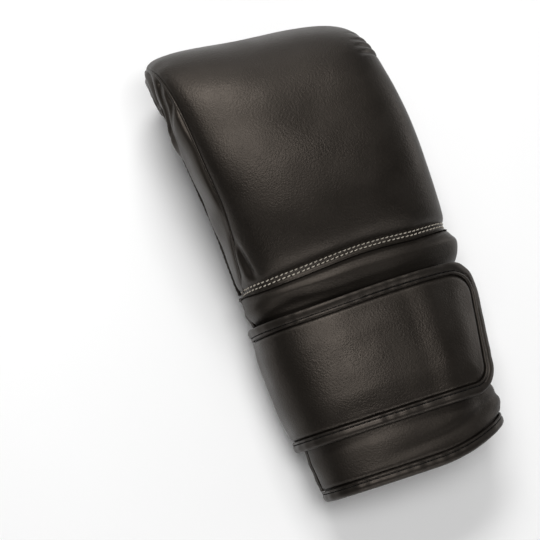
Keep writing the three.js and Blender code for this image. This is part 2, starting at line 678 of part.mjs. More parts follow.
const CUFF_TOP = -0.1;
const CUFF_LOW = 0.1 - CUFF_WALL;
const hemArcs = [slitBack(-CUFF_LENGTH), ...marks, slitPalm(-CUFF_LENGTH)];
const hemPath = hemArcs.map((arc) => ({ arc, y: hemAt(arc), toArc: 0, toY: 1 }));
add('hem_binding', bindingAlong(hemPath, onCuff, CUFF_TOP, CUFF_LOW), leather('tape', 0x161514));
const slitYs = [
  ...rollRows.map(({ share }) => lerp(-PIECE_GAP, ROLL_END, share)),
  ...[0.35, 0.68, 0.82].map((share) => lerp(ROLL_END - PIECE_GAP, EDGE_START - CUFF_LENGTH, share)),
  BINDING_WIDTH + PIECE_GAP - CUFF_LENGTH,
];
for (const [name, edge, toArc] of [['slit_binding_back', slitBack, 1], ['slit_binding_palm', slitPalm, -1]]) {
  const path = slitYs.map((y) => ({ arc: edge(y), y, toArc, toY: 0 }));
  add(name, bindingAlong(path, onCuff, CUFF_TOP, CUFF_LOW), leather('tape', 0x161514));
}

// Strap with its binding, and the loop patch that it closes on.
add('strap', strapPanel(), leather('strap_leather', 0x1d1c1b));
add('strap_binding', bindingAlong(strapOutline(), onStrap, STRAP_THICK - 0.1, 0.1),
  leather('tape', 0x161514));
const patchArcs = marks.filter((arc) => arc > 20 && arc < 82);
const patchAt = (lift) => patchArcs.map((arc) => (
  PATCH_SHARES.map((share) => onCuff(arc, -share * CUFF_LENGTH, lift))));
add('loop_patch', sheet(patchAt(1.3), patchAt(0.3)), new THREE.MeshStandardMaterial({
  name: 'loop_fabric', color: 0x101010, roughness: 0.95, metalness: 0,
}));

// The group stands on z = 0 with its bounding box centred over the origin.
const group = new THREE.Group();
group.add(...pieces);
const box = new THREE.Box3().setFromObject(group);
const middle = box.getCenter(new THREE.Vector3());
for (const piece of pieces) piece.geometry.translate(-middle.x, -middle.y, -box.min.z);

export default group;
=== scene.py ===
"""Left padded bag glove, lying palm down with the fist closed.

Lengths are worked out in millimetres on the glove's own pattern, with the wrist seam at y = 0,
and are moved to the frame and turned into metres when a mesh is made.
"""

import math

import bpy
import numpy as np
from mathutils import Matrix


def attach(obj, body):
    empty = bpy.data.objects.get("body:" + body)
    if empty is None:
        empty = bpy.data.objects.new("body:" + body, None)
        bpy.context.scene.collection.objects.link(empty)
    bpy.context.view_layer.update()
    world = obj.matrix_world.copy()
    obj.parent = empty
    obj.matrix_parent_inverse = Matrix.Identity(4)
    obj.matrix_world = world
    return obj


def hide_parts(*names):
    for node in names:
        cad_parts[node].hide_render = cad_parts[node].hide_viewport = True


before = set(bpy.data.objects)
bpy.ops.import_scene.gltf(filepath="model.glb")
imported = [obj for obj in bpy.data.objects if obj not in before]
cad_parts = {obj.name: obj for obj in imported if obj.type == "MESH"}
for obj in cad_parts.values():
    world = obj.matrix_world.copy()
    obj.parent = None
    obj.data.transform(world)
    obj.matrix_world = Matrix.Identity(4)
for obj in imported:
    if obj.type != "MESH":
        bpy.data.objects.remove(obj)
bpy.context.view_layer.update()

bl_info = {
    "name": "Bag glove",
    "version": (1, 0, 0),
    "blender": (4, 5, 0),
    "location": "View3D > Sidebar > Bag glove",
    "description": "Padded bag glove with a bound wrist strap, laid over its solids",
    "category": "Add Mesh",
}

MM = 0.001
SHARP_ANGLE = 48
WARM_SHEEN = (1.0, 0.86, 0.74, 1.0)
CENTRE = np.array([4.2107, -5.6685, 0.0])


def by_column(names, rows):
    """The columns of a table by their names."""
    return dict(zip(names, np.array(rows, float).T))


# Main sizes of the pattern.
REACH, HEIGHT, HALF_WIDTH = 136.5, 91.0, 66.0
CUFF_LENGTH, CUFF_HALF, CUFF_HEIGHT = 127.0, 54.0, 61.0
PAD, PALM_WALL, SIDE_WALL, CUFF_WALL = 22.0, 3.0, 5.0, 6.0
SEAM_GAP, PIECE_GAP = 0.2, 0.35
BEND, SLANT = -14.0, math.tan(math.radians(4.2))
HAND_MIDDLE = -3.0
CUFF_ROUND = 2.6

# One row for each section of the hand, from the wrist seam over the knuckles to the fingertips.
HAND_COLUMNS = ["back_y", "back_z", "palm_y", "palm_z", "little", "thumb", "round_back",
                "round_palm", "pad", "back_seam_little", "palm_seam_little",
                "back_seam_thumb", "palm_seam_thumb"]
HAND_ROWS = [
    [0, 0.747, 0, 0.077, 0.901, 0.998, 2.6, 2.4, 0.36, 180, 196, -6, -50],
    [0.095, 0.857, 0.095, 0.11, 0.935, 0.965, 2.8, 2.4, 0.73, 171, 196, -6, -52],
    [0.278, 0.956, 0.249, 0.242, 0.985, 0.921, 3, 2.4, 0.9, 161, 197, -6, -50],
    [0.513, 1, 0.41, 0.374, 1.04, 0.892, 3.2, 2.4, 1, 157, 198, -6, -40],
    [0.747, 0.956, 0.535, 0.462, 1.06, 0.88, 3.5, 2.4, 1, 152, 198, -6, -28],
    [0.912, 0.791, 0.615, 0.473, 1.036, 0.886, 4.7, 2.4, 0.98, 151, 199, -6, -20],
    [0.986, 0.527, 0.652, 0.418, 0.994, 0.852, 5.4, 2.6, 0.93, 158, 200, -6, -18],
    [0.955, 0.231, 0.63, 0.33, 0.918, 0.765, 4, 2.6, 0.86, 165, 198, -5, -16],
    [0.82, 0.033, 0.571, 0.286, 0.85, 0.675, 3, 2.6, 0.77, 172, 194, -4, -12],
    [0.667, -0.011, 0.505, 0.264, 0.79, 0.606, 3, 2.6, 0.7, 177, 185, -2, -7],
    [0.513, 0.044, 0.44, 0.242, 0.73, 0.545, 3, 2.6, 0.6, 180, 180, 0, 0],
    [0.414, 0.157, 0.41, 0.152, 0.56, 0.424, 3, 2.6, 0.5, 180, 180, 0, 0],
]
HAND = by_column(HAND_COLUMNS, HAND_ROWS)

# One row for each station of the cuff, behind the wrist seam.
CUFF_COLUMNS = ["behind", "top", "low", "half", "shift"]
CUFF_ROWS = [
    [0, 1.1, 0.095, 1.16, 0.048],
    [0.035, 1.093, 0.095, 1.165, 0.068],
    [0.065, 1.13, 0.085, 1.176, 0.08],
    [0.1, 1.145, 0.08, 1.173, 0.07],
    [0.15, 1.115, 0.08, 1.144, 0.073],
    [0.19, 1.07, 0.08, 1.1, 0.071],
    [0.24, 1.06, 0.08, 1.09, 0.072],
    [0.47, 1.045, 0.08, 1.065, 0.081],
    [0.77, 1.025, 0.08, 1.041, 0.107],
    [0.82, 1.035, 0.08, 1.053, 0.118],
    [0.91, 1.025, 0.08, 1.042, 0.129],
    [1, 1, 0.08, 1.015, 0.13],
]
CUFF = by_column(CUFF_COLUMNS, CUFF_ROWS)
HEM_RISE = 0.094 * CUFF_LENGTH
SLIT_BACK = (192.5, 188.5)
SLIT_PALM = (203.0 - 360.0, 208.0 - 360.0)

# The strap on the cuff.
STRAP_TOP, STRAP_LOW = -0.173 * CUFF_LENGTH, -0.756 * CUFF_LENGTH
STRAP_MIDDLE, STRAP_HALF = (STRAP_TOP + STRAP_LOW) / 2, (STRAP_TOP - STRAP_LOW) / 2
STRAP_THICK = 4.6
STRAP_FREE_ARC = 1.1 * CUFF_HALF
STRAP_SKEW, STRAP_LOW_SKEW = 5.5, 7.2
CORNER_TOP, CORNER_LOW = 20.0, 15.0
STRAP_SEWN_ANGLE = 286.0
ROLL_END = -0.189 * CUFF_LENGTH
PATCH_ARCS, PATCH_ROWS = (24.0, 81.0), (-25.0, -92.0)
PATCH_TOP, PATCH_BACK = 1.3, 0.3
TAPE, BINDING_WIDTH, BINDING_TUCK = 0.9, 6.4, 1.8
TAPE_STITCHES = (3.3, 2.3, 0.85)
TAPE_STITCH_LINE = BINDING_WIDTH - 1.6
EDGE_START = TAPE + PIECE_GAP

# Pleats at the front corner on the thumb side: place along the hand from the first and depth.
PLEATS_AT = 4.66
PLEATS = ((-0.21, 1.3), (0.0, 1.15), (0.21, 0.9), (0.5, 0.5))

# Shape of the wrist roll on the back and at the sides, by the distance behind the seam.
ROLL_COLUMNS = ["behind", "back", "side"]
ROLL_ROWS = [
    [0.3, -0.6, -0.6],
    [1.5, -0.5, -0.3],
    [2.3, 0.7, 0.5],
    [4.4, 2.3, 1.2],
    [7.5, 1.5, 1.7],
    [12.0, -0.9, 1.5],
    [16.0, -1.8, 0.8],
    [19.5, -2.2, -0.3],
    [21.6, -3.0, -1.1],
    [24.0, -3.3, -1.6],
]
ROLL = by_column(ROLL_COLUMNS, ROLL_ROWS)

# Section numbers at which the side strips and the finger pieces end, and at the bend.
SIDE_END, TIP_END, PALM_END, FINGER_START = 9.65, 10.5, 5.72, 5.78

# Pipings: the section that they start at, and the pitch of the pulls of their sewing thread.
PIPING_START, PIPING_PITCH = 0.16, 3.0

# The thumb sleeve.
THUMB_OUTER, THUMB_INNER = 14.0, 10.4
THUMB_LINE = np.array([[0.606, 0.103, 0.396], [0.773, 0.183, 0.33], [0.841, 0.3, 0.22],
                       [0.826, 0.44, 0.181], [0.803, 0.571, 0.181]])

# The pressed band at the wrist that carries the two rows of stitches.
BAND_TOP, BAND_LOW, BAND_DEPTH, BAND_RISE, BAND_LEATHER = 3.0, -1.4, 1.5, 4.5, 0.9
WRIST_ROWS = (("upper", 2.2, 91), ("lower", 0.4, 92))
WRIST_MIDDLE = 38.0

# Sag of the wrist seam towards the cuff, by the place across the glove.
SAG_AT = [-70, -64, -58, -50, -41, -31, -18, -6, 5, 18, 30, 38, 48, 60]
SAG_BY = [1.5, 1.9, 3.4, 3.8, 3.3, 2.8, 1.7, 0.7, 0.1, 0.1, 0.6, 0.9, 0.5, -0.3]

# Studio, in metres and watts: half the floor's side, the sky's strength, and the soft lights by
# name, place, size and power.
FLOOR_HALF, SKY_STRENGTH = 4.0, 0.06
LIGHTS = (
    ("key", (-0.16, 0.06, 1.3), (0.4, 0.7), 7.0),
    ("high_front", (-0.1, 0.75, 1.0), (0.6, 0.3), 8.6),
    ("low_front", (0.0, 1.35, 0.55), (1.5, 0.5), 5.0),
    ("right", (1.4, 0.1, 0.28), (1.0, 0.3), 3.6),
    ("rear", (0.0, -1.2, 0.6), (1.2, 0.4), 6.0),
)

# Camera: its leans and roll in degrees, its distance, the size of a pixel at the glove, and its
# aim as a height in metres and a shift in pixels.
LEAN_SIDE, LEAN_CUFF, CAMERA_ROLL = 15.0, 5.0, 18.0
CAMERA_DISTANCE, METRE_PER_PIXEL, PICTURE_WIDTH = 1.1, 0.553e-3, 540
AIM_HEIGHT, AIM_RIGHT, AIM_UP = 0.068, 82, 17
FILM_WIDTH = 36


# Whole-array helpers.

def lerp(a, b, t):
    return a + (b - a) * t


def smooth(t):
    """Eases from 0 to 1 with the cubic 3t2 - 2t3."""
    t = np.clip(t, 0, 1)
    return t * t * (3 - 2 * t)


def bell(t):
    """The bell curve exp(-t2)."""
    return np.exp(-t * t)


def signed_power(value, power):
    return np.sign(value) * np.abs(value) ** power


def roll_in(reach, width, depth):
    """Quarter ellipse: the whole depth at the edge and nothing beyond the width."""
    t = 1 - np.clip(reach / width, 0, 1)
    return depth * (1 - np.sqrt(1 - t * t))


def spline(values, t):
    """Catmull-Rom curve through evenly numbered values, carried on straight at its ends."""
    last = len(values) - 1
    padded = np.concatenate([[2 * values[0] - values[1]], values, [2 * values[-1] - values[-2]]])
    t = np.asarray(t, float)
    k = np.clip(np.floor(t).astype(int), 0, last - 1)
    u = t - k
    a, b, c, d = padded[k], padded[k + 1], padded[k + 2], padded[k + 3]
    rise = (c - a) * u + (2 * a - 5 * b + 4 * c - d) * u * u
    return b + 0.5 * (rise + (3 * b - a - 3 * c + d) * u ** 3)


def unit(vectors):
    return vectors / np.maximum(np.linalg.norm(vectors, axis=-1, keepdims=True), 1e-9)


def along_length(points):
    """Running length of a line of points."""
    steps = np.linalg.norm(np.diff(points, axis=0), axis=-1)
    return np.concatenate([[0.0], np.cumsum(steps)])


def resample(points, count):
    """The same line with its points evenly spaced along its length."""
    length = along_length(points)
    wanted = np.linspace(0, length[-1], count)
    return np.stack([np.interp(wanted, length, points[:, k]) for k in range(points.shape[1])], -1)


def waves(points, size, seed, count=9):
    """Soft unevenness from -1 to 1: the mean of plane waves of about one size, at fixed angles."""
    rng = np.random.default_rng(seed)
    ways = unit(rng.normal(size=(count, 3)))
    sizes = size * rng.uniform(0.7, 1.5, count)
    phases = rng.uniform(0, 2 * np.pi, count)
    turns = points @ (ways / sizes[:, None]).T * 2 * np.pi + phases
    return np.cos(turns).sum(-1) / math.sqrt(count)


def grid_normals(points, middle):
    """Cross product of a grid's two directions, turned away from the middle of the piece."""
    normal = unit(np.cross(np.gradient(points, axis=0), np.gradient(points, axis=1)))
    outward = np.sign(np.mean(np.sum(normal * (points - middle), axis=-1)))
    return normal * (outward if outward != 0 else 1)


# The hand's sections.

def hand_section(s, inner=False, grow=0.0):
    """A section's middle, half height and half widths from the table, for the skin or lining."""
    v = {name: spline(column, s) for name, column in HAND.items()}
    back = np.stack([v["back_y"] * REACH, v["back_z"] * HEIGHT], -1)
    palm = np.stack([v["palm_y"] * REACH, v["palm_z"] * HEIGHT], -1)
    tall = np.linalg.norm(back - palm, axis=-1)
    up = (back - palm) / tall[:, None]
    little, thumb = v["little"] * HALF_WIDTH + grow, v["thumb"] * HALF_WIDTH + grow
    off_back = off_palm = np.full_like(tall, -grow)
    if inner:
        off_palm = np.minimum(PALM_WALL, tall * 0.3)
        off_back = np.minimum(v["pad"] * PAD, tall - off_palm - 0.8)
        little, thumb = little - SIDE_WALL, thumb - SIDE_WALL
    back = back - up * off_back[:, None]
    palm = palm + up * off_palm[:, None]
    return {"mid": (back + palm) / 2, "half": (back - palm) / 2, "little": little,
            "thumb": thumb, "round_back": v["round_back"], "round_palm": v["round_palm"],
            "floor": -1e3 if inner else 0.0}


def hand_point(at, angle):
    """Points on superellipse sections: 90 degrees is the back of the hand, 0 the thumb side."""
    c, q = np.cos(angle), np.sin(angle)
    rounding = np.where(q > 0, at["round_back"][:, None], at["round_palm"][:, None])
    side = signed_power(c, 2 / rounding)
    side = side * np.where(c > 0, at["thumb"][:, None], at["little"][:, None])
    high = signed_power(q, 2 / rounding)
    y = at["mid"][:, :1] + at["half"][:, :1] * high
    z = at["mid"][:, 1:] + at["half"][:, 1:] * high
    along = np.clip(y / REACH, 0, 1.1)
    x = side + BEND * along ** 2
    return np.stack([x, y - SLANT * x * np.clip(along, 0, 1), np.maximum(z, at["floor"])], -1)


def seam_angle(name, s):
    """Angle of a seam on the sections; past the side strips both seams run along the sides."""
    angle = spline(HAND[name], s)
    if name == "palm_seam_little":
        angle = np.maximum(angle, 180)
    elif name == "back_seam_little":
        angle = np.minimum(angle, 180)
    else:
        angle = np.minimum(angle, 0)
    return np.radians(angle)


def even_angles(at, start, end, shares, gap):
    """Angles that share out each section's arc between two seams, and how far in each one is."""
    angle = start[:, None] + (end - start)[:, None] * np.linspace(0, 1, 241)
    points = hand_point(at, angle)
    steps = np.linalg.norm(np.diff(points, axis=1), axis=-1)
    length = np.concatenate([np.zeros((len(start), 1)), np.cumsum(steps, axis=1)], axis=1)
    total = length[:, -1:]
    gap = np.minimum(gap, total * 0.4)
    wanted = gap + (total - 2 * gap) * shares[None, :]
    found = np.array([np.interp(w, l, a) for w, l, a in zip(wanted, length, angle)])
    return found, wanted, total - wanted


def even_stations(first, last, count, crowd_at=None):
    """Section numbers spaced along the mean of the back and palm lines, crowded at one place."""
    s = np.linspace(first, last, 600)
    at = hand_section(s)
    back, palm = at["mid"] + at["half"], at["mid"] - at["half"]
    length = (along_length(back) + along_length(palm)) / 2
    if crowd_at is not None:
        steps = np.diff(length) * (1 + 2.0 * bell((s[1:] - crowd_at) / 0.55))
        length = np.concatenate([[0.0], np.cumsum(steps)])
    return np.interp(np.linspace(0, length[-1], count), length, s)


def edge_shares(count, crowd=0.45):
    """Shares from 0 to 1 that crowd towards both ends by a cosine."""
    even = np.linspace(0, 1, count)
    return lerp(even, (1 - np.cos(np.pi * even)) / 2, crowd)


def hand_piece(first, last, rows, cols, seams, depth, at_wrist, crowd_at=None):
    """Closed sheet between two seams: the skin drawn in by a depth, and the lining inside it."""
    s = even_stations(first, last, rows, crowd_at)
    skin_at, lining_at = hand_section(s), hand_section(s, inner=True)
    shares = edge_shares(cols)
    start, end = seams[0](s), seams[1](s)
    angle, left, right = even_angles(skin_at, start, end, shares, SEAM_GAP)
    skin = hand_point(skin_at, angle)
    middle = np.stack([np.full_like(s, HAND_MIDDLE), *skin_at["mid"].T], -1)
    normal = grid_normals(skin, middle[:, None, :])
    y = skin[..., 1]
    near_wrist = smooth((2.0 - s) / 0.8)[:, None]
    sewn_flat = 1 - near_wrist * (1 - smooth((y - BAND_TOP) / 6))
    drawn = depth(s[:, None], left, right, skin) * sewn_flat
    press = near_wrist * roll_in(y - BAND_TOP, BAND_RISE, BAND_DEPTH)
    outer = skin - normal * (drawn + press * (at_wrist > 0))[..., None]
    outer[..., 2] = np.maximum(outer[..., 2], 0.0)
    lining_angle = even_angles(lining_at, start, end, shares, SEAM_GAP)[0]
    lining = hand_point(lining_at, lining_angle)
    if at_wrist:
        behind = np.array([1.0, 0.75, 0.45, 0.15])
        over = np.stack([lerp(outer[0], cuff_point(angle[0], BAND_LOW * w, BAND_LEATHER), w)
                         for w in behind])
        over[..., 1] = BAND_LOW * behind[:, None]
        under = over - normal[0] * BAND_LEATHER
        outer = np.concatenate([over, outer])
        lining = np.concatenate([under, lining])
    return outer, lining, np.minimum(left, right)


# The cuff's sheet.

def cuff_section(y):
    """Half width, sideways shift, middle and half height of the cuff at a distance behind."""
    t = np.interp(np.clip(-y / CUFF_LENGTH, 0, 1), CUFF["behind"], np.arange(len(CUFF_ROWS)))
    top, low = spline(CUFF["top"], t) * CUFF_HEIGHT, spline(CUFF["low"], t) * CUFF_HEIGHT
    return (spline(CUFF["half"], t) * CUFF_HALF, spline(CUFF["shift"], t) * CUFF_HALF,
            (top + low) / 2, (top - low) / 2)


def cuff_point(angle, y, lift):
    """Points on the cuff's superellipse, raised by a lift from its outer face."""
    half, shift, mid, tall = cuff_section(y)
    x = (half + lift) * signed_power(np.cos(angle), 2 / CUFF_ROUND) + shift
    z = mid + (tall + lift) * signed_power(np.sin(angle), 2 / CUFF_ROUND)
    y = np.broadcast_to(y, x.shape)
    return np.stack([x, y, np.maximum(z, 0.0)], -1)


ARC_ANGLES = np.radians(np.arange(-165, 336, dtype=float))
ARC_LENGTHS = along_length(cuff_point(ARC_ANGLES, np.full_like(ARC_ANGLES, STRAP_MIDDLE), 2.0))
MIDDLE_ARC = ARC_LENGTHS[255]


def angle_at(arc):
    """Angle at an arc length round the cuff, from the middle of the back to the thumb side."""
    return np.interp(MIDDLE_ARC - arc, ARC_LENGTHS, ARC_ANGLES)


def arc_at(degrees):
    return MIDDLE_ARC - np.interp(np.radians(degrees), ARC_ANGLES, ARC_LENGTHS)


def on_cuff(arc, y, lift):
    arc, y, lift = np.broadcast_arrays(np.asarray(arc, float), y, lift)
    return cuff_point(angle_at(arc), y, lift)


def slit_back(y):
    return arc_at(lerp(*SLIT_BACK, -y / CUFF_LENGTH))


def slit_palm(y):
    return arc_at(lerp(*SLIT_PALM, -y / CUFF_LENGTH))


def hem_at(arc):
    """The hem's distance behind the seam, which rises towards the thumb side."""
    side = signed_power(np.cos(angle_at(arc)), 2 / CUFF_ROUND)
    return -CUFF_LENGTH + HEM_RISE * np.clip((side - 0.1) / 0.9, 0, 1) ** 2


def edge_tuck(reach):
    """A sheet is thinner where a binding wraps its edge, and rises steeply beside the tape."""
    return roll_in(reach - BINDING_WIDTH - 0.7, 2.8, BINDING_TUCK)


def strap_base(arc, across):
    over_patch = 1.4 * smooth((arc - 14) / 14)
    slant = 1 + 0.35 * across / STRAP_HALF
    return 0.4 + over_patch + 3 * smooth((arc - 34) / 28) * slant


def on_strap(arc, across, lift):
    """Points on the strap: arc along it, distance across it and lift from its inner face."""
    arc, across, lift = np.broadcast_arrays(np.asarray(arc, float), across, lift)
    bow = 2 * bell((arc - 20) / 45) * smooth((across + STRAP_HALF) / (2 * STRAP_HALF))
    skew = np.where(across < 0, STRAP_LOW_SKEW, STRAP_SKEW) * across / STRAP_HALF
    skew = skew * smooth((arc - 12) / 44)
    return on_cuff(arc + skew, STRAP_MIDDLE + across + bow, strap_base(arc, across) + lift)


def strap_reach(arc, across):
    """Distance from a place on the strap to its rounded outline."""
    radius = np.where(across > 0, CORNER_TOP, CORNER_LOW)
    past = arc - (STRAP_FREE_ARC - radius)
    aside = np.abs(across) - (STRAP_HALF - radius)
    in_corner = (past > 0) & (aside > 0)
    straight = np.minimum(STRAP_HALF - np.abs(across), STRAP_FREE_ARC - arc)
    return np.where(in_corner, radius - np.hypot(past, aside), straight)


# Meshes.

def grid_faces(rows, cols, offset=0, flip=False):
    """Four-sided faces of a grid whose points are numbered row by row."""
    i, j = np.meshgrid(np.arange(rows - 1), np.arange(cols - 1), indexing="ij")
    a = (i * cols + j).ravel() + offset
    faces = np.stack([a, a + cols, a + cols + 1, a + 1], -1)
    return faces[:, ::-1] if flip else faces


def ring_faces(rings, sides):
    """Faces of a tube through rings of points, open at its ends."""
    i, j = np.meshgrid(np.arange(rings - 1) * sides, np.arange(sides), indexing="ij")
    i, j = i.ravel(), j.ravel()
    beside = (j + 1) % sides
    return np.stack([i + j, i + beside, i + sides + beside, i + sides + j], -1)


def shell(outer, inner):
    """Closed sheet: outer grid, inner grid and four strips round the edge."""
    rows, cols = outer.shape[:2]
    size = rows * cols
    index = np.arange(size).reshape(rows, cols)

    def strip(line, turn):
        a, b = line[:-1], line[1:]
        faces = np.stack([a, b, b + size, a + size], -1)
        return faces[:, ::-1] if turn else faces

    faces = [grid_faces(rows, cols), grid_faces(rows, cols, size, flip=True),
             strip(index[0], False), strip(index[-1], True),
             strip(index[:, 0], True), strip(index[:, -1], False)]
    marks = np.zeros(sum(len(f) for f in faces), int)
    marks[len(faces[0]):2 * len(faces[0])] = 1
    points = np.concatenate([outer.reshape(-1, 3), inner.reshape(-1, 3)])
    return points, np.concatenate(faces), marks


def swept(rings):
    """Closed profile carried through a row of rings, with its two ends filled."""
    count, sides = rings.shape[:2]
    caps = [list(range(sides))[::-1], list(range((count - 1) * sides, count * sides))]
    return rings.reshape(-1, 3), ring_faces(count, sides).tolist() + caps


def tube(line, radius, sides, normal):
    """Round tube along a line: rings square to it, filled at both ends by a last small ring."""
    ahead = unit(np.gradient(line, axis=0))
    side = unit(np.cross(ahead, normal))
    up = np.cross(side, ahead)
    turn = np.linspace(0, 2 * np.pi, sides, endpoint=False)
    rings = (line[:, None] + radius[:, None, None] * (np.cos(turn)[:, None] * side[:, None]
             + np.sin(turn)[:, None] * up[:, None]))
    return swept(np.concatenate([lerp(line[:1, None], rings[:1], 0.05), rings,
                                 lerp(line[-1:, None], rings[-1:], 0.05)]))


def wrist_bow(points):
    """The wrist seam sags towards the cuff by a table of sideways places, and fades behind it."""
    sag = np.interp(points[:, 0], SAG_AT, SAG_BY) * bell(points[:, 1] / 12)
    return points - sag[:, None] * np.array([0.0, 1.0, 0.0])


def enclosed(points, faces):
    """Six times the volume that the faces enclose, with its sign."""
    total = 0.0
    for size in {len(face) for face in faces}:
        some = np.array([face for face in faces if len(face) == size])
        first = points[some[:, 0]]
        for k in range(1, size - 1):
            total += np.sum(first * np.cross(points[some[:, k]], points[some[:, k + 1]]))
    return total


def closed_mesh(name, points, faces, lowest=-1e3):
    """Mesh in metres in the frame, from points in millimetres, with its faces turned outwards."""
    faces = faces if isinstance(faces, list) else faces.tolist()
    points = (wrist_bow(points) + CENTRE) * MM
    points[:, 2] = np.maximum(points[:, 2], lowest)
    if enclosed(points, faces) < 0:
        faces = [face[::-1] for face in faces]
    mesh = bpy.data.meshes.new(name)
    mesh.from_pydata(points.tolist(), [], faces)
    return mesh


def placed(name, data):
    """New object in the scene."""
    thing = bpy.data.objects.new(name, data)
    bpy.context.scene.collection.objects.link(thing)
    return thing


def make_piece(name, shape, materials, nodes=(), wear=None):
    """Object from points in millimetres and faces, set in the frame and hung on the root body."""
    mesh = closed_mesh(name, shape[0], shape[1], lowest=0.0)
    marks = shape[2] if len(shape) > 2 else None
    for material in materials:
        mesh.materials.append(material)
    if marks is not None and len(materials) > 1:
        mesh.polygons.foreach_set("material_index", marks.astype(np.int32))
    mesh.polygons.foreach_set("use_smooth", np.ones(len(mesh.polygons), bool))
    if wear is not None:
        layer = mesh.attributes.new("wear", "FLOAT", "POINT")
        values = np.zeros(len(mesh.vertices), np.float32)
        values[:wear.size] = wear.ravel()
        layer.data.foreach_set("value", values)
    mesh.update()
    mesh.set_sharp_from_angle(angle=math.radians(SHARP_ANGLE))
    piece = placed(name, mesh)
    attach(piece, "root")
    if nodes:
        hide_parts(*nodes)
    return piece


def cut_away(piece, name, shape):
    """Takes the space of a shape out of the piece, with a tool that is then removed."""
    tool = placed(name, closed_mesh(name, *shape))
    tool.data.update()
    cutter = piece.modifiers.new("cut", "BOOLEAN")
    cutter.operation, cutter.solver, cutter.object = "DIFFERENCE", "EXACT", tool
    bpy.context.view_layer.objects.active = piece
    bpy.ops.object.modifier_apply(modifier=cutter.name)
    bpy.data.objects.remove(tool, do_unlink=True)


def stitches(line, normal, sizes, seed, slant=0.0):
    """Row of small rounded bars along a line, each dipping into the leather at its ends."""
    pitch, length, width = sizes
    rng = np.random.default_rng(seed)
    run = along_length(line)
    count = int(run[-1] // pitch)
    at = (np.arange(count) + 0.5) * pitch + rng.uniform(-0.12, 0.12, count)
    pick = lambda values: np.stack([np.interp(at, run, values[:, k]) for k in range(3)], -1)
    ahead = unit(pick(np.gradient(line, axis=0)))
    up = unit(pick(normal))
    side = unit(np.cross(up, ahead))
    lean = slant + rng.uniform(-0.06, 0.06, count)[:, None]
    ahead, side = (np.cos(lean) * ahead + np.sin(lean) * side,
                   np.cos(lean) * side - np.sin(lean) * ahead)
    t = np.array([-1, -0.9, -0.6, 0, 0.6, 0.9, 1])
    thick = width / 2 * np.array([0.15, 0.6, 0.92, 1, 0.92, 0.6, 0.15])
    height = 0.42 * width * (1 - 1.35 * t ** 4)
    sides = 6
    turn = np.linspace(0, 2 * np.pi, sides, endpoint=False)
    local = np.stack([np.repeat(t * length / 2, sides),
                      (thick[:, None] * np.cos(turn)).ravel(),
                      (height[:, None] + 0.8 * thick[:, None] * np.sin(turn)).ravel()], -1)
    axes = np.stack([ahead, side, up], 1)
    points = pick(line)[:, None] + local @ axes
    first = (np.arange(count) * len(local))[:, None, None]
    faces = (ring_faces(len(t), sides) + first).reshape(-1, 4).tolist()
    ends = np.array([range(sides)[::-1], range(len(local) - sides, len(local))])
    faces += (ends + first).reshape(-1, sides).tolist()
    return points.reshape(-1, 3), faces


# Materials.

class Recipe:
    """Short way to build a shader: adds nodes, sets their sockets and joins them."""

    def __init__(self, name):
        self.material = bpy.data.materials.new(name)
        self.material.use_nodes = True
        self.tree = self.material.node_tree
        self.shader = self.tree.nodes["Principled BSDF"]
        self.coords = self.tree.nodes.new("ShaderNodeTexCoord").outputs["Object"]

    def add(self, kind, settings=None, **sockets):
        node = self.tree.nodes.new("ShaderNode" + kind)
        for key, value in (settings or {}).items():
            setattr(node, key, value)
        for key, value in sockets.items():
            self.put(node.inputs[key.replace("_", " ")], value)
        return node

    def put(self, socket, value):
        if isinstance(value, bpy.types.NodeSocket):
            self.tree.links.new(value, socket)
        else:
            socket.default_value = value

    def noise(self, scale, detail=2.0, roughness=0.5, distortion=0.0):
        return self.add("TexNoise", Vector=self.coords, Scale=scale, Detail=detail,
                        Roughness=roughness, Distortion=distortion).outputs["Fac"]

    def span(self, value, low, high, to_low, to_high):
        return self.add("MapRange", Value=value, From_Min=low, From_Max=high, To_Min=to_low,
                        To_Max=to_high).outputs["Result"]

    def maths(self, operation, a, b):
        node = self.tree.nodes.new("ShaderNodeMath")
        node.operation = operation
        self.put(node.inputs[0], a)
        self.put(node.inputs[1], b)
        return node.outputs[0]

    def blend(self, share, a, b):
        node = self.tree.nodes.new("ShaderNodeMix")
        node.data_type = "RGBA"
        self.put(node.inputs["Factor"], share)
        self.put(node.inputs["A"], a)
        self.put(node.inputs["B"], b)
        return node.outputs["Result"]

    def bump(self, height, strength, distance, under=None):
        node = self.add("Bump", Height=height, Strength=strength, Distance=distance)
        if under is not None:
            self.put(node.inputs["Normal"], under)
        return node.outputs["Normal"]

    def wear(self):
        return self.add("Attribute", {"attribute_name": "wear"}).outputs["Fac"]

    def finish(self, **inputs):
        for name, value in inputs.items():
            self.put(self.shader.inputs[name.replace("_", " ")], value)
        return self.material


def shade(colour, factor):
    return (*(min(channel * factor, 1.0) for channel in colour[:3]), 1.0)


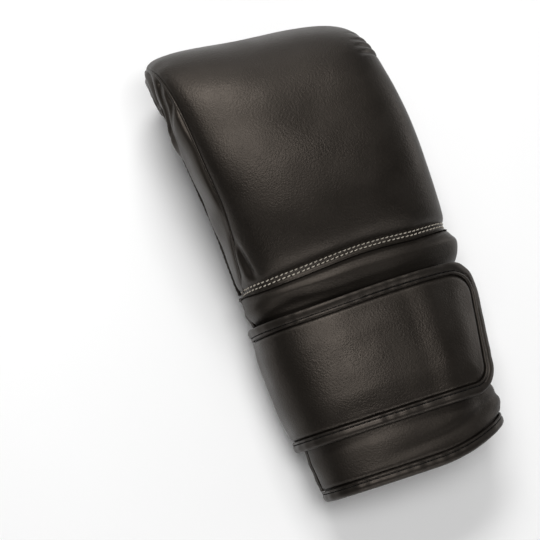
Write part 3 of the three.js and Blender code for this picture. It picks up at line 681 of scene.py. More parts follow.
def leather(name, colour, rough=0.45, grain=0.3, crease=0.25, pebble=900.0):
    """Coated leather: pebbled grain over soft creases, patchy colour, worn and matt at edges."""
    r = Recipe(name)
    patch, speck = r.noise(28, 3), r.noise(620, 2)
    worn = r.maths("MULTIPLY", r.wear(), r.span(r.noise(160, 4), 0.35, 0.65, 0.2, 1.0))
    tone = r.blend(r.span(patch, 0.3, 0.7, 0.0, 1.0), shade(colour, 0.78), shade(colour, 1.2))
    tone = r.blend(r.span(speck, 0.4, 0.75, 0.0, 0.4), tone, shade(colour, 1.9))
    tone = r.blend(r.maths("MULTIPLY", worn, 0.55), tone, shade(colour, 3.2))
    rough_patch = r.span(r.noise(46, 3), 0.3, 0.7, rough - 0.05, rough + 0.06)
    matt = r.maths("ADD", rough_patch, r.maths("MULTIPLY", worn, 0.08))
    cells = r.add("TexVoronoi", {"feature": "SMOOTH_F1"}, Vector=r.coords, Scale=pebble,
                  Smoothness=0.6).outputs["Distance"]
    height = r.maths("ADD", r.maths("MULTIPLY", cells, -0.7), r.noise(pebble * 1.7, 3))
    folds = r.add("TexNoise", {"noise_type": "RIDGED_MULTIFRACTAL"}, Vector=r.coords,
                  Scale=52.0, Detail=3.0, Distortion=0.6).outputs["Fac"]
    soft = r.bump(folds, crease, 0.0006)
    return r.finish(Base_Color=tone, Roughness=matt, Normal=r.bump(height, grain, 0.00022, soft),
                    Specular_Tint=WARM_SHEEN, Specular_IOR_Level=0.4)


def knit_lining(name, colour):
    """Lining cloth: crossing waves of fine yarn with a soft, uneven tone."""
    r = Recipe(name)
    yarns = [r.add("TexWave", {"bands_direction": way}, Vector=r.coords, Scale=420.0,
                   Distortion=0.6, Detail=1.0).outputs["Fac"] for way in "XY"]
    weave = r.maths("MULTIPLY", *yarns)
    tone = r.blend(r.span(r.noise(40, 3), 0.3, 0.7, 0, 1), shade(colour, 0.7), shade(colour, 1.3))
    tone = r.blend(r.maths("MULTIPLY", weave, 0.5), shade(colour, 0.45), tone)
    return r.finish(Base_Color=tone, Roughness=r.span(weave, 0, 1, 0.95, 0.8),
                    Normal=r.bump(weave, 0.5, 0.0004))


def loop_pile(name, colour):
    """Loop side of a touch fastener: matted short loops, matt and slightly dusty."""
    r = Recipe(name)
    loops = r.add("TexVoronoi", Vector=r.coords, Scale=1500.0).outputs["Distance"]
    mat = r.noise(700, 4, 0.7, 1.5)
    height = r.maths("ADD", loops, mat)
    tone = r.blend(r.span(mat, 0.3, 0.7, 0, 1), shade(colour, 0.6), shade(colour, 2.2))
    tone = r.blend(r.span(r.noise(60, 3), 0.35, 0.7, 0, 0.5), tone, shade(colour, 2.6))
    return r.finish(Base_Color=tone, Roughness=r.span(mat, 0.2, 0.8, 1.0, 0.88),
                    Normal=r.bump(height, 0.9, 0.0006))


def thread(name, colour, rough=0.55):
    """Twisted sewing thread: fine slanting plies with a soiled tone here and there."""
    r = Recipe(name)
    plies = r.add("TexWave", {"bands_direction": "DIAGONAL"}, Vector=r.coords, Scale=900.0,
                  Distortion=1.0, Detail=2.0).outputs["Fac"]
    soil = r.span(r.noise(140, 3), 0.35, 0.7, 0.0, 1.0)
    tone = r.blend(soil, shade(colour, 1.05), shade(colour, 0.72))
    tone = r.blend(r.maths("MULTIPLY", plies, 0.35), tone, shade(colour, 0.55))
    return r.finish(Base_Color=tone, Roughness=r.span(plies, 0, 1, rough, rough + 0.15),
                    Normal=r.bump(plies, 0.4, 0.0002), Specular_IOR_Level=0.2)


def studio_floor(name, colour):
    """Pale smooth floor with a faint unevenness."""
    r = Recipe(name)
    tone = r.blend(r.noise(3, 2), shade(colour, 0.99), shade(colour, 1.0))
    return r.finish(Base_Color=tone, Roughness=r.span(r.noise(8, 2), 0.3, 0.7, 0.6, 0.7))


# The finishes: how each is made, its colour in the sidebar, and its other settings.
RECIPES = {
    "pad_leather": (leather, "pad", 0.41, 0.45, 0.14),
    # The side strips use the pad's dark leather in a lighter colour. The lift is painted light,
    # standing in for light falling on the little-finger side.
    "side_leather": (leather, "side", 0.4, 0.26, 0.3),
    "palm_leather": (leather, "pad", 0.5, 0.32, 0.4),
    "thumb_leather": (leather, "pad", 0.45, 0.3, 0.3),
    "cuff_leather": (leather, "cuff", 0.46, 0.42, 0.24),
    "strap_leather": (leather, "cuff", 0.4, 0.5, 0.16),
    "piping_leather": (leather, "tape", 0.4, 0.15, 0.1, 1300),
    "tape": (leather, "tape", 0.42, 0.2, 0.12, 1300),
    "loop_fabric": (loop_pile, "loops"),
    "lining": (knit_lining, "lining"),
    "pale_thread": (thread, "pale_thread"),
    "black_thread": (thread, "black_thread", 0.8),
    "studio_floor": (studio_floor, "floor"),
}
FINISHES = {}


def finish_of(name):
    """The named finish, made once from its recipe and the colours in the sidebar."""
    if name not in FINISHES:
        make, colour, *settings = RECIPES[name]
        FINISHES[name] = make(name, getattr(bpy.context.scene.glove_colours, colour), *settings)
    return FINISHES[name]


# Shapes of the hand's pieces.

def seam_of(name, turns=0):
    """A seam's angle as a function of the section, carried on by whole turns."""
    return lambda s: seam_angle(name, s) + turns * 2 * np.pi


BACK_THUMB, BACK_LITTLE = seam_of("back_seam_thumb"), seam_of("back_seam_little")
PALM_THUMB, PALM_LITTLE = seam_of("palm_seam_thumb"), seam_of("palm_seam_little")
ROUND_PALM = (PALM_LITTLE, seam_of("palm_seam_thumb", 1))


def wear_of(outer, reach):
    """Rubbed leather along the seams, by the distance to the nearest one."""
    wear = np.zeros(outer.shape[:2])
    wear[len(outer) - len(reach):] = 0.18 * bell(reach / 3.0)
    return wear


def pad_depth(s, left, right, skin):
    """Rounded edges, small pleats at the front corner on the thumb side and soft dents."""
    sizes = bpy.context.scene.glove_sizes
    edge = roll_in(np.minimum(left, right), sizes.pad_rounding / MM, sizes.pad_edge_depth / MM)
    place = s + 0.0125 * (left - 17) - PLEATS_AT
    near = smooth((37 - left) / 16) * smooth((left - 2) / 6)
    pleats = sum(deep * (bell((place - where) / 0.042) - 0.35 * bell((place - where - 0.1) / 0.05))
                 for where, deep in PLEATS) * near
    near_seam = smooth((16 - right) / 10)
    gathers = 0.1 * near_seam * np.cos(2 * np.pi * (s - 4.4) / 0.42) * bell((s - 5.6) / 0.9)
    beside = right - (20.2 - 11.5 * s)
    tuck = 1.8 * bell(beside / 2.4) - 0.6 * bell((beside + 5) / 3)
    dent = tuck * smooth((1.75 - s) / 0.7)
    soft = 0.3 * waves(skin, 62, 3) + 0.05 * waves(skin, 19, 4)
    return edge + (pleats * sizes.pleat_depth + gathers) + dent + soft * smooth(right / 6)


def little_depth(s, left, right, skin):
    """Side strip drawn up in uneven gathers round the front corner."""
    edge = roll_in(np.minimum(left, right), 4.0, 1.3)
    corner = smooth((s - 3.7) / 0.9) * smooth((8.4 - s) / 1.0)
    share = left / np.maximum(left + right, 1e-6)
    lean = s + 1.5 * share + 0.05 * waves(skin, 20, 7)
    inside = smooth(np.minimum(left, right) / 2.2)
    facets = 2.1 * (1 - np.abs(np.sin(np.pi * lean / 0.62)))
    fine = 1.1 * (1 - np.abs(np.sin(np.pi * (s + 0.5 * share) / 0.23)))
    fine = fine * smooth((share - 0.4) / 0.3)
    twist = bell((s - 4.25) / 0.55) * (1.3 * bell((lean - 4.75) / 0.12)
                                       - 1.5 * bell((lean - 5.05) / 0.13))
    bulge = -0.8 * bell((s - 3.95) / 0.28) * smooth(right / 2.5) * smooth((16 - right) / 12)
    slack = 0.45 * smooth((s - 1.0) / 1.0) * waves(skin, 30, 8)
    return edge + inside * (corner * (facets + fine) + twist + slack) + bulge


def thumb_side_depth(s, left, right, skin):
    edge = roll_in(np.minimum(left, right), 4.0, 1.3)
    return edge + 0.4 * waves(skin, 22, 11) * smooth(np.minimum(left, right) / 4)


def palm_depth(s, left, right, skin):
    """Thin palm leather with soft folds across the bend of the hand."""
    inside = smooth(np.minimum(left, right) / 6)
    folds = 0.35 * np.cos(2 * np.pi * (s + 0.1 * waves(skin, 30, 13)) / 0.8)
    return roll_in(np.minimum(left, right), 3.0, 0.9) + inside * (
        folds * smooth((s - 2.5) / 1) + 0.15 * waves(skin, 30, 12))


def piping_line(seam, first, last, lift, count=420):
    """Line over a seam, raised from the skin by a lift, with its outward directions."""
    s = even_stations(first, last, count)
    at = hand_section(s)
    angle = seam(s)
    near = angle[:, None] + np.radians([-2.0, 0.0, 2.0])
    grid = hand_point(at, near)
    middle = np.stack([np.full_like(s, HAND_MIDDLE), *at["mid"].T], -1)
    normal = unit(np.cross(np.gradient(grid[:, 1], axis=0), grid[:, 2] - grid[:, 0]))
    normal = normal * np.sign(np.sum(normal * (grid[:, 1] - middle), -1, keepdims=True))
    return grid[:, 1] + normal * lift, normal


def thumb_middle():
    """Line through the thumb sleeve as a fine spline of its points."""
    line = THUMB_LINE * np.array([HALF_WIDTH, REACH, HEIGHT])
    t = np.linspace(0, len(line) - 1, 200)
    return resample(np.stack([spline(line[:, k], t) for k in range(3)], -1), 70)


def thumb_rings(radius, angles, drop=0.0, wrinkle=0.0):
    """Rings round the thumb line, closed over the tip by a quarter circle."""
    line = thumb_middle()
    ahead = unit(np.gradient(line, axis=0))
    cap = np.linspace(0, np.pi / 2, 18)[1:]
    middle = np.concatenate([line, line[-1] + ahead[-1] * radius * np.sin(cap)[:, None]])
    size = radius * np.concatenate([np.ones(len(line)), np.cos(cap)])
    ahead = np.concatenate([ahead, np.repeat(ahead[-1:], len(cap), axis=0)])
    up = unit(np.array([0.0, 0.0, 1.0]) - ahead * ahead[:, 2:])
    side = np.cross(ahead, up)
    size = np.broadcast_to(size[:, None], (len(middle), len(angles)))
    rings = middle[:, None] + size[..., None] * (np.cos(angles)[:, None] * side[:, None]
                                                 + np.sin(angles)[:, None] * up[:, None])
    inward = unit(middle[:, None] - rings)
    seam = np.minimum(np.abs(np.sin(angles)) * radius, 6.0)[None] * np.ones(size.shape)
    depth = roll_in(seam, 4.0, drop) * (size > 1) + wrinkle * waves(rings, 14, 21)
    return rings + inward * depth[..., None] * smooth(size / 4)[..., None]


def thumb_half(first):
    """Half of the thumb sleeve, above or below its side seams."""
    angles = np.radians(first) + np.linspace(math.radians(1.0), math.radians(179.0), 40)
    outer = thumb_rings(THUMB_OUTER, angles, drop=1.0, wrinkle=0.25)
    return outer, thumb_rings(THUMB_INNER, angles)


def hand_envelope():
    """Whole outside of the hand, a gap larger, used to end the thumb sleeve on it."""
    s = np.linspace(0, 10.9, 90)
    at = hand_section(s, grow=PIECE_GAP)
    at["floor"] = -1e3
    angle = np.broadcast_to(np.linspace(0, 2 * np.pi, 96, endpoint=False), (len(s), 96))
    return swept(hand_point(at, angle))


def thumb_hollow():
    angles = np.linspace(0, 2 * np.pi, 40, endpoint=False)
    rings = thumb_rings(THUMB_INNER, angles)
    return swept(rings[:-1])


# Shapes of the cuff and strap.

def cuff_grid(rows_y, cols, lift, inner_lift, low_edge=None):
    """Sheet of the cuff on shares across it and rows behind the seam, outer and inner face."""
    across = edge_shares(cols, 0.6)[:, None]
    y = np.broadcast_to(rows_y[None, :], (cols, len(rows_y)))
    arc = lerp(slit_back(y) + EDGE_START, slit_palm(y) - EDGE_START, across)
    if low_edge is not None:
        for _ in range(2):
            share = (rows_y - rows_y[0]) / (rows_y[-1] - rows_y[0])
            y = lerp(rows_y[0], low_edge(arc), share[None, :])
            arc = lerp(slit_back(y) + EDGE_START, slit_palm(y) - EDGE_START, across)
    reach = np.minimum(arc - slit_back(y), slit_palm(y) - arc)
    outer = on_cuff(arc, y, lift(arc, y, reach))
    inner = on_cuff(arc, y, inner_lift(arc, y, reach))
    return outer, inner, reach


def roll_lift(arc, y, reach):
    """Wrist roll from its table, with a hollow near its little-finger end."""
    at = np.interp(-y, ROLL["behind"], np.arange(len(ROLL_ROWS)))
    on_back = smooth((np.sin(angle_at(arc)) - 0.25) / 0.5)
    shape = lerp(spline(ROLL["side"], at), spline(ROLL["back"], at), on_back)
    hollow = -2.6 * bell((arc + 43) / 17) * bell((y + 15.0) / 6.5)
    slack = 0.2 * waves(on_cuff(arc, y, 0), 34, 31)
    body = smooth((BAND_LOW - y) / 3) * smooth((y - ROLL_END) / 4)
    return shape - edge_tuck(reach) + (hollow + slack) * body


def cuff_lift(arc, y, reach):
    """Cuff below the strap: soft creases round it and a pull at the thumb side."""
    base = on_cuff(arc, y, 0)
    to_hem = y - hem_at(arc)
    tuck = np.maximum(edge_tuck(reach), edge_tuck(to_hem))
    shown = smooth((STRAP_LOW + 6 - y) / 8) * smooth((to_hem - 6) / 6)
    creases = 0.3 * waves(base, 18, 33) + 0.45 * waves(base, 40, 34)
    fold = -1.3 * bell((y - hem_at(arc) - 15 - 0.05 * arc) / 3.2) * smooth((arc + 30) / 40)
    spread = 3.4 * bell((y + 99) / 6.5) * smooth((arc - 42) / 22)
    return -tuck + shown * (creases * 0.6 + fold) + spread


def tape_profile(top, low):
    """Folded tape: outer roll, sunk stitch line, inner strip, and its lower leg inside."""
    w, t = BINDING_WIDTH, TAPE
    rows = [(w, top - t), (w + 0.02, top - 0.4), (w - 0.12, top - 0.05), (w - 0.45, top + 0.12),
            (w - 0.9, top + 0.14), (w - 1.3, top), (w - 1.42, top - 0.9),
            (w - 1.6, top - 1.0), (w - 1.78, top - 0.9), (w - 1.9, top + 0.02),
            (w - 2.6, top + 0.36), (w - 3.5, top + 0.52), (w - 4.6, top + 0.45),
            (0.9, top + 0.02), (0.4, top - 0.5), (0.1, top - 1.1), (0.0, top - 1.9),
            (0.0, low + 1.6), (0.12, low + 0.8), (0.5, low + 0.25), (1.3, low), (3.0, low),
            (w, low), (w, low + t), (w / 2, low + t), (t + 0.15, low + t), (t, low + t + 0.2),
            (t, top - t - 0.2), (t + 0.15, top - t), (w / 2, top - t)]
    return np.array(rows)


def binding(path, place, profile):
    """Tape profile carried along a path of arc, y and the way into the sheet."""
    arc, y, to_arc, to_y = (path[:, k:k + 1] for k in range(4))
    into, height = profile[:, 0][None], profile[:, 1][None]
    return place(arc + to_arc * into, y + to_y * into, height)


def strap_path():
    """Outline of the strap: lower edge, rounded end and upper edge, with the way inwards."""
    start = arc_at(STRAP_SEWN_ANGLE)
    low_side, top_side = STRAP_FREE_ARC - CORNER_LOW, STRAP_FREE_ARC - CORNER_TOP
    low = np.arange(start, low_side)
    high = np.arange(start, top_side)[::-1]
    turn = np.radians(np.linspace(-90, 90, 61))
    c, q = np.cos(turn), np.sin(turn)
    radius = np.where(q > 0, CORNER_TOP, CORNER_LOW)
    middle = np.where(q > 0, STRAP_HALF - CORNER_TOP, CORNER_LOW - STRAP_HALF)
    corner = np.stack([STRAP_FREE_ARC - radius + radius * c, middle + radius * q, -c, -q], -1)
    half = len(turn) // 2
    end = np.array([[STRAP_FREE_ARC, y, -1, 0] for y in
                    np.linspace(CORNER_LOW - STRAP_HALF, STRAP_HALF - CORNER_TOP, 12)[1:-1]])
    return np.concatenate([
        np.stack([low, np.full_like(low, -STRAP_HALF), 0 * low, 0 * low + 1], -1),
        corner[:half], end, corner[half + 1:],
        np.stack([high, np.full_like(high, STRAP_HALF), 0 * high, 0 * high - 1], -1)])


def strap_panel():
    """Padded strap panel inside its binding, puffed between the sewn edges."""
    start = arc_at(STRAP_SEWN_ANGLE)
    side = STRAP_FREE_ARC - CORNER_TOP
    turn = np.radians(np.linspace(0, 90, 40)[1:])
    arcs = np.concatenate([np.linspace(start, side, 150),
                           side + (CORNER_TOP - EDGE_START) * np.sin(turn)])

    def inset(radius):
        past = np.maximum(arcs - (STRAP_FREE_ARC - radius), 0)
        return STRAP_HALF - radius + np.sqrt(np.maximum((radius - EDGE_START) ** 2 - past ** 2, 0))

    share = edge_shares(100, 0.7)[None]
    across = lerp(-inset(CORNER_LOW)[:, None], inset(CORNER_TOP)[:, None], share)
    arc = np.broadcast_to(arcs[:, None], across.shape)
    reach = strap_reach(arc, across)
    tuck = edge_tuck(np.minimum(reach, arc - start + 9))
    base = on_strap(arc, across, 0)
    inside = smooth((reach - 8) / 8)
    puff = 1.3 * smooth((reach - 7) / 16) + inside * (0.26 * waves(base, 46, 41)
                                                      + 0.05 * waves(base, 16, 42))
    outer = on_strap(arc, across, STRAP_THICK + puff - tuck)
    inner = on_strap(arc, across, tuck)
    return outer, inner, reach


# Settings.

def length_setting(name, about, default, low, high):
    return bpy.props.FloatProperty(name=name, description=about, default=default, min=low,
                                   max=high, unit="LENGTH")


def colour_setting(name, about, default):
    return bpy.props.FloatVectorProperty(name=name, description=about, default=default, size=3,
                                         min=0, max=1, subtype="COLOR")


class GloveSizes(bpy.types.PropertyGroup):
    pad_rounding: length_setting(
        "Pad rounding", "Width over which the back pad rolls in to its seams", 0.009, 0.002, 0.02)
    pad_edge_depth: length_setting(
        "Pad edge depth", "How far the back pad is drawn in at its seams", 0.0022, 0.0, 0.005)
    pleat_depth: bpy.props.FloatProperty(
        name="Pleat depth", description="Strength of the pleats at the front corner",
        default=1.0, min=0.0, max=2.0)
    piping_radius: length_setting(
        "Piping radius", "Radius of the piping in the hand's seams", 0.00075, 0.0004, 0.002)
    stitch_pitch: length_setting(
        "Stitch pitch", "Distance from one wrist stitch to the next", 0.0029, 0.002, 0.006)
    stitch_length: length_setting(
        "Stitch length", "Length of one wrist stitch", 0.0021, 0.001, 0.005)
    thread_width: length_setting(
        "Thread width", "Thickness of the pale sewing thread", 0.00072, 0.0003, 0.002)


class GloveColours(bpy.types.PropertyGroup):
    pad: colour_setting(
        "Pad leather", "Colour of the back pad, palm and thumb", (0.0062, 0.0052, 0.0043))
    # Lighter than the pad leather: the leather's own dark colour plus painted light, on both side
    # strips.
    side: colour_setting(
        "Side leather", "Colour of the side strips", (0.009, 0.0076, 0.0062))
    cuff: colour_setting(
        "Cuff leather", "Colour of the cuff, wrist roll and strap", (0.0062, 0.0052, 0.0043))
    tape: colour_setting(
        "Binding tape", "Colour of the bindings and pipings", (0.005, 0.0043, 0.0037))
    lining: colour_setting("Lining", "Colour of the cloth inside", (0.045, 0.044, 0.043))
    loops: colour_setting("Loop patch", "Colour of the loop fastener", (0.012, 0.012, 0.012))
    pale_thread: colour_setting(
        "Pale thread", "Colour of the wrist stitches", (0.56, 0.51, 0.43))
    black_thread: colour_setting(
        "Black thread", "Colour of the stitches on the bindings", (0.003, 0.003, 0.003))
    floor: colour_setting("Floor", "Colour of the studio floor", (0.93, 0.93, 0.93))


# Operators.

def lined_piece(name, node, finish, sheet, wear):
    """Closed sheet with leather outside and lining cloth on its inner faces."""
    return make_piece(name, shell(*sheet), [finish_of(finish), finish_of("lining")],
                      (node,), wear=wear)


def hand_leather(name, node, finish, fill, *parts):
    """Lined piece of the hand between two seams, rubbed along them."""
    outer, lining, reach = hand_piece(*parts)
    return lined_piece(name, node, finish, (outer, lining), wear_of(outer, reach))


class GLOVE_OT_back_pad(bpy.types.Operator):
    """Back pad that curls over the knuckles down to the fingertips"""
    bl_idname = "glove.back_pad"
    bl_label = "Back pad"

    def execute(self, context):
        hand_leather("back_pad_leather", "back_pad", "pad_leather", 0.75,
                     0, TIP_END, 270, 150, (BACK_THUMB, BACK_LITTLE), pad_depth, 1, PLEATS_AT)
        return {"FINISHED"}


class GLOVE_OT_side_strips(bpy.types.Operator):
    """Gathered strip on the little-finger side and the strip on the thumb side"""
    bl_idname = "glove.side_strips"
    bl_label = "Side strips"

    def execute(self, context):
        hand_leather("little_finger_side_leather", "little_finger_side", "side_leather", 0.4,
                     0, SIDE_END, 420, 34, (BACK_LITTLE, PALM_LITTLE), little_depth, 1)
        side = hand_leather("thumb_side_leather", "thumb_side", "side_leather", 0.4,
                            0, SIDE_END, 260, 34, (PALM_THUMB, BACK_THUMB), thumb_side_depth, 1)
        cut_away(side, "thumb_opening", thumb_hollow())
        return {"FINISHED"}


class GLOVE_OT_palm(bpy.types.Operator):
    """Palm panel and finger panel inside the closed hand"""
    bl_idname = "glove.palm"
    bl_label = "Palm and finger panels"

    def execute(self, context):
        palm = hand_leather("palm_leather_panel", "palm_panel", "palm_leather", None,
                            0, PALM_END, 150, 90, ROUND_PALM, palm_depth, 1)
        cut_away(palm, "thumb_opening", thumb_hollow())
        hand_leather("finger_leather_panel", "finger_panel", "palm_leather", None,
                     FINGER_START, TIP_END, 90, 90, ROUND_PALM, palm_depth, 0)
        return {"FINISHED"}


class GLOVE_OT_pipings(bpy.types.Operator):
    """Three pipings sewn into the seams of the hand"""
    bl_idname = "glove.pipings"
    bl_label = "Pipings"

    def execute(self, context):
        radius = context.scene.glove_sizes.piping_radius / MM
        rows = [("back_piping_little", BACK_LITTLE, 10.2, -1.3, 1.0),
                ("palm_piping_little", PALM_LITTLE, 8.9, 0.3, 1.4),
                ("back_piping_thumb", BACK_THUMB, 10.2, -1.3, 1.0)]
        for name, seam, last, lift, thick in rows:
            line, normal = piping_line(seam, PIPING_START, last, lift)
            beads = 0.05 * thick * np.cos(2 * np.pi * along_length(line) / PIPING_PITCH)
            size = radius * thick * (1 + 0.05 * waves(line, 9, 51) + beads)
            make_piece(name + "_leather", tube(line, size, 12, normal),
                       [finish_of("piping_leather")], (name,),
                       wear=np.full(len(line) * 12, 0.1))
        return {"FINISHED"}


class GLOVE_OT_thumb(bpy.types.Operator):
    """Thumb sleeve in two sewn halves, open into the hand"""
    bl_idname = "glove.thumb"
    bl_label = "Thumb sleeve"

    def execute(self, context):
        for name, first in (("thumb_back", 0.0), ("thumb_palm", 180.0)):
            half = lined_piece(name + "_leather", name, "thumb_leather", thumb_half(first),
                               None)
            cut_away(half, "hand_outside", hand_envelope())
        return {"FINISHED"}


class GLOVE_OT_cuff(bpy.types.Operator):
    """Wrist roll and cuff, open along the slit"""
    bl_idname = "glove.cuff"
    bl_label = "Wrist roll and cuff"

    def execute(self, context):
        inner_lift = lambda arc, y, reach: edge_tuck(reach) - CUFF_WALL
        *sheet, reach = cuff_grid(np.linspace(-PIECE_GAP, ROLL_END, 46), 220, roll_lift,
                                  inner_lift)
        lined_piece("wrist_roll_leather", "wrist_roll", "cuff_leather", sheet,
                    0.3 * bell(reach / 4))
        start = ROLL_END - PIECE_GAP
        rows = start - (CUFF_LENGTH + start) * (1 - (1 - np.linspace(0, 1, 110)) ** 1.8)
        inner_low = lambda arc, y, reach: (np.maximum(edge_tuck(reach),
                                                      edge_tuck(y - hem_at(arc))) - CUFF_WALL)
        *sheet, reach = cuff_grid(rows, 220, cuff_lift, inner_low,
                                  lambda arc: hem_at(arc) + EDGE_START)
        lined_piece("cuff_leather_sheet", "cuff", "cuff_leather", sheet,
                    0.3 * bell(reach / 4))
        return {"FINISHED"}


class GLOVE_OT_bindings(bpy.types.Operator):
    """Folded tapes round the hem, the slit and the strap, each with its row of stitches"""
    bl_idname = "glove.bindings"
    bl_label = "Bindings"

    def execute(self, context):
        cuff_profile = tape_profile(-0.1, 0.1 - CUFF_WALL)
        strap_profile = tape_profile(STRAP_THICK - 0.1, 0.1)
        arcs = np.linspace(slit_back(-CUFF_LENGTH), slit_palm(-CUFF_LENGTH), 420)
        hem = np.stack([arcs, hem_at(arcs), 0 * arcs, 0 * arcs + 1], -1)
        y = np.linspace(-PIECE_GAP, BINDING_WIDTH + PIECE_GAP - CUFF_LENGTH, 170)
        back = np.stack([slit_back(y), y, 0 * y + 1, 0 * y], -1)
        palm = np.stack([slit_palm(y), y, 0 * y - 1, 0 * y], -1)
        runs = [("hem_binding", hem, on_cuff, cuff_profile, -0.1),
                ("slit_binding_back", back, on_cuff, cuff_profile, -0.1),
                ("slit_binding_palm", palm, on_cuff, cuff_profile, -0.1),
                ("strap_binding", strap_path(), on_strap, strap_profile, STRAP_THICK - 0.1)]
        for name, path, place, profile, top in runs:
            rings = binding(path, place, profile)
            ripple = 0.12 * waves(rings[:, :1], 7, 61)
            outward = np.where((profile[:, 1] > top - 1)[None, :, None], 1.0, 0.0)
            lift = binding(path, place, profile + [0, 0.1]) - rings
            rings = rings + outward * lift * (ripple / 0.1)[..., None]
            make_piece(name + "_tape", swept(rings), [finish_of("tape")], (name,),
                       wear=np.tile(0.5 * bell((profile[:, 0] - 1.6) / 1.2)
                                    * (profile[:, 1] > top - 1), len(path)))
            seat = np.array([[TAPE_STITCH_LINE, top - 0.7]])
            line = binding(path, place, seat)[:, 0]
            above = binding(path, place, seat + [0, 1.0])[:, 0]
            make_piece(name + "_stitches",
                       stitches(line, above - line, TAPE_STITCHES, 71),
                       [finish_of("black_thread")])
        return {"FINISHED"}


class GLOVE_OT_strap(bpy.types.Operator):
    """Padded wrist strap and the loop patch that it closes on"""
    bl_idname = "glove.strap"
    bl_label = "Strap and loop patch"

    def execute(self, context):
        *sheet, reach = strap_panel()
        lined_piece("strap_leather_panel", "strap", "strap_leather", sheet,
                    0.4 * bell((reach - 8) / 2))
        arcs = np.linspace(*PATCH_ARCS, 60)[:, None]
        rows = np.linspace(*PATCH_ROWS, 70)[None]
        edge = np.minimum(np.minimum(arcs - PATCH_ARCS[0], PATCH_ARCS[1] - arcs),
                          np.minimum(PATCH_ROWS[0] - rows, rows - PATCH_ROWS[1]))
        uneven = 0.08 * waves(on_cuff(arcs, rows, 0), 4, 81)
        top = PATCH_TOP - 0.5 * (1 - smooth(edge / 1.5)) + uneven
        make_piece("loop_patch_fabric", shell(on_cuff(arcs, rows, top),
                                              on_cuff(arcs, rows, PATCH_BACK)),
                   [finish_of("loop_fabric")], ("loop_patch",))
        return {"FINISHED"}


class GLOVE_OT_wrist_stitches(bpy.types.Operator):
    """Two rows of pale stitches on the pressed band round the wrist"""
    bl_idname = "glove.wrist_stitches"
    bl_label = "Wrist stitches"

    def execute(self, context):
        sizes = context.scene.glove_sizes
        angle = np.radians(np.linspace(194, -150, 900))
        s = np.linspace(0, 1, 200)
        behind = spline(HAND["back_y"], s) * REACH
        for name, y, seed in WRIST_ROWS:
            station = np.interp([y - 0.3, y, y + 0.3], behind, s)
            at = hand_section(station)
            rows = hand_point(at, np.broadcast_to(angle, (3, len(angle))))
            normal = grid_normals(rows, np.array([HAND_MIDDLE, 0.0, WRIST_MIDDLE]))[1]
            line = rows[1] - normal * (BAND_DEPTH + 0.02)
            bars = stitches(line, normal, (sizes.stitch_pitch / MM, sizes.stitch_length / MM,
                                           sizes.thread_width / MM), seed, 0.2)
            make_piece(name + "_wrist_stitches", bars, [finish_of("pale_thread")])
        return {"FINISHED"}


class GLOVE_OT_studio(bpy.types.Operator):
    """Pale floor, soft studio light and the camera above the glove"""
    bl_idname = "glove.studio"
    bl_label = "Studio"

    def execute(self, context):
        scene = context.scene
        mesh = bpy.data.meshes.new("floor")
        around = ((-1, -1), (1, -1), (1, 1), (-1, 1))
        corners = [(x * FLOOR_HALF, y * FLOOR_HALF, 0) for x, y in around]
        mesh.from_pydata(corners, [], [(0, 1, 2, 3)])
        mesh.materials.append(finish_of("studio_floor"))
        floor = placed("floor", mesh)
        world = bpy.data.worlds.new("studio")
        scene.world = world
        world.use_nodes = True
        sky = world.node_tree.nodes["Background"].inputs
        sky["Color"].default_value = (1, 0.99, 0.98, 1)
        sky["Strength"].default_value = SKY_STRENGTH
        for name, place, size, power in LIGHTS:
            soft_light(name, place, size, power)
        scene.view_settings.view_transform = "Standard"
        scene.camera = above_camera()
        return {"FINISHED"}


def aim(place, ahead, right):
    """Matrix whose local z looks back along the view, x to the right."""
    back = -unit(np.array(ahead))
    up = np.cross(back, right)
    return Matrix([[right[0], up[0], back[0], place[0]], [right[1], up[1], back[1], place[1]],
                   [right[2], up[2], back[2], place[2]], [0, 0, 0, 1]])


def soft_light(name, place, size, power):
    """Rectangular light that faces the middle of the glove."""
    light = bpy.data.lights.new(name, "AREA")
    light.shape, light.size, light.size_y, light.energy = "RECTANGLE", *size, power
    lamp = placed(name, light)
    ahead = unit(np.array([0, 0, 0.03]) - np.array(place))
    lamp.matrix_world = aim(place, ahead, unit(np.cross(ahead, [0, 0, 1.0])))


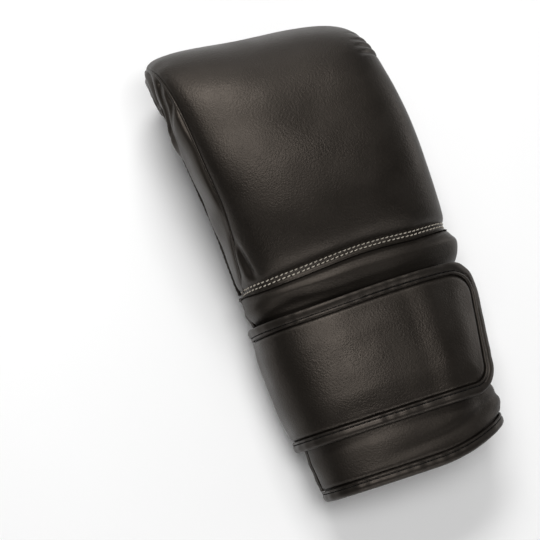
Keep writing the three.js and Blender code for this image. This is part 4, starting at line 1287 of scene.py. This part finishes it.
def above_camera():
    """Camera nearly straight above, leaning a little to the cuff and the little finger."""
    roll = math.radians(CAMERA_ROLL)
    back = -np.sin(np.radians([LEAN_SIDE, LEAN_CUFF, 0.0]))
    back[2] = math.sqrt(1 - back @ back)
    up0 = unit(np.array([0, 1.0, 0]) - back[1] * back)
    right0 = np.cross(up0, back)
    right = math.cos(roll) * right0 - math.sin(roll) * up0
    up = math.sin(roll) * right0 + math.cos(roll) * up0
    target = np.array([0, 0, AIM_HEIGHT]) + CENTRE * MM
    aside = (right * AIM_RIGHT + up * AIM_UP) * METRE_PER_PIXEL
    place = target + back * CAMERA_DISTANCE - aside
    camera = bpy.data.cameras.new("camera")
    camera.lens = FILM_WIDTH / (PICTURE_WIDTH * METRE_PER_PIXEL) * CAMERA_DISTANCE
    holder = placed("camera", camera)
    holder.matrix_world = aim(place, -back, right)
    return holder


class GLOVE_PT_panel(bpy.types.Panel):
    bl_label = "Bag glove"
    bl_idname = "GLOVE_PT_panel"
    bl_space_type = "VIEW_3D"
    bl_region_type = "UI"
    bl_category = "Bag glove"

    def draw(self, context):
        for settings in (context.scene.glove_sizes, context.scene.glove_colours):
            for name in type(settings).__annotations__:
                self.layout.prop(settings, name)
        for step in STEPS:
            self.layout.operator(step.bl_idname)


STEPS = (GLOVE_OT_back_pad, GLOVE_OT_side_strips, GLOVE_OT_palm, GLOVE_OT_pipings,
         GLOVE_OT_thumb, GLOVE_OT_cuff, GLOVE_OT_bindings, GLOVE_OT_strap,
         GLOVE_OT_wrist_stitches, GLOVE_OT_studio)
CLASSES = (GloveSizes, GloveColours, *STEPS, GLOVE_PT_panel)


def register():
    for each in CLASSES:
        bpy.utils.register_class(each)
    bpy.types.Scene.glove_sizes = bpy.props.PointerProperty(type=GloveSizes)
    bpy.types.Scene.glove_colours = bpy.props.PointerProperty(type=GloveColours)


def unregister():
    del bpy.types.Scene.glove_sizes
    del bpy.types.Scene.glove_colours
    for each in reversed(CLASSES):
        bpy.utils.unregister_class(each)


def main():
    register()
    for step in STEPS:
        group, name = step.bl_idname.split(".")
        if getattr(getattr(bpy.ops, group), name)() != {"FINISHED"}:
            raise RuntimeError(step.bl_label + " did not finish")


if __name__ == "__main__":
    main()
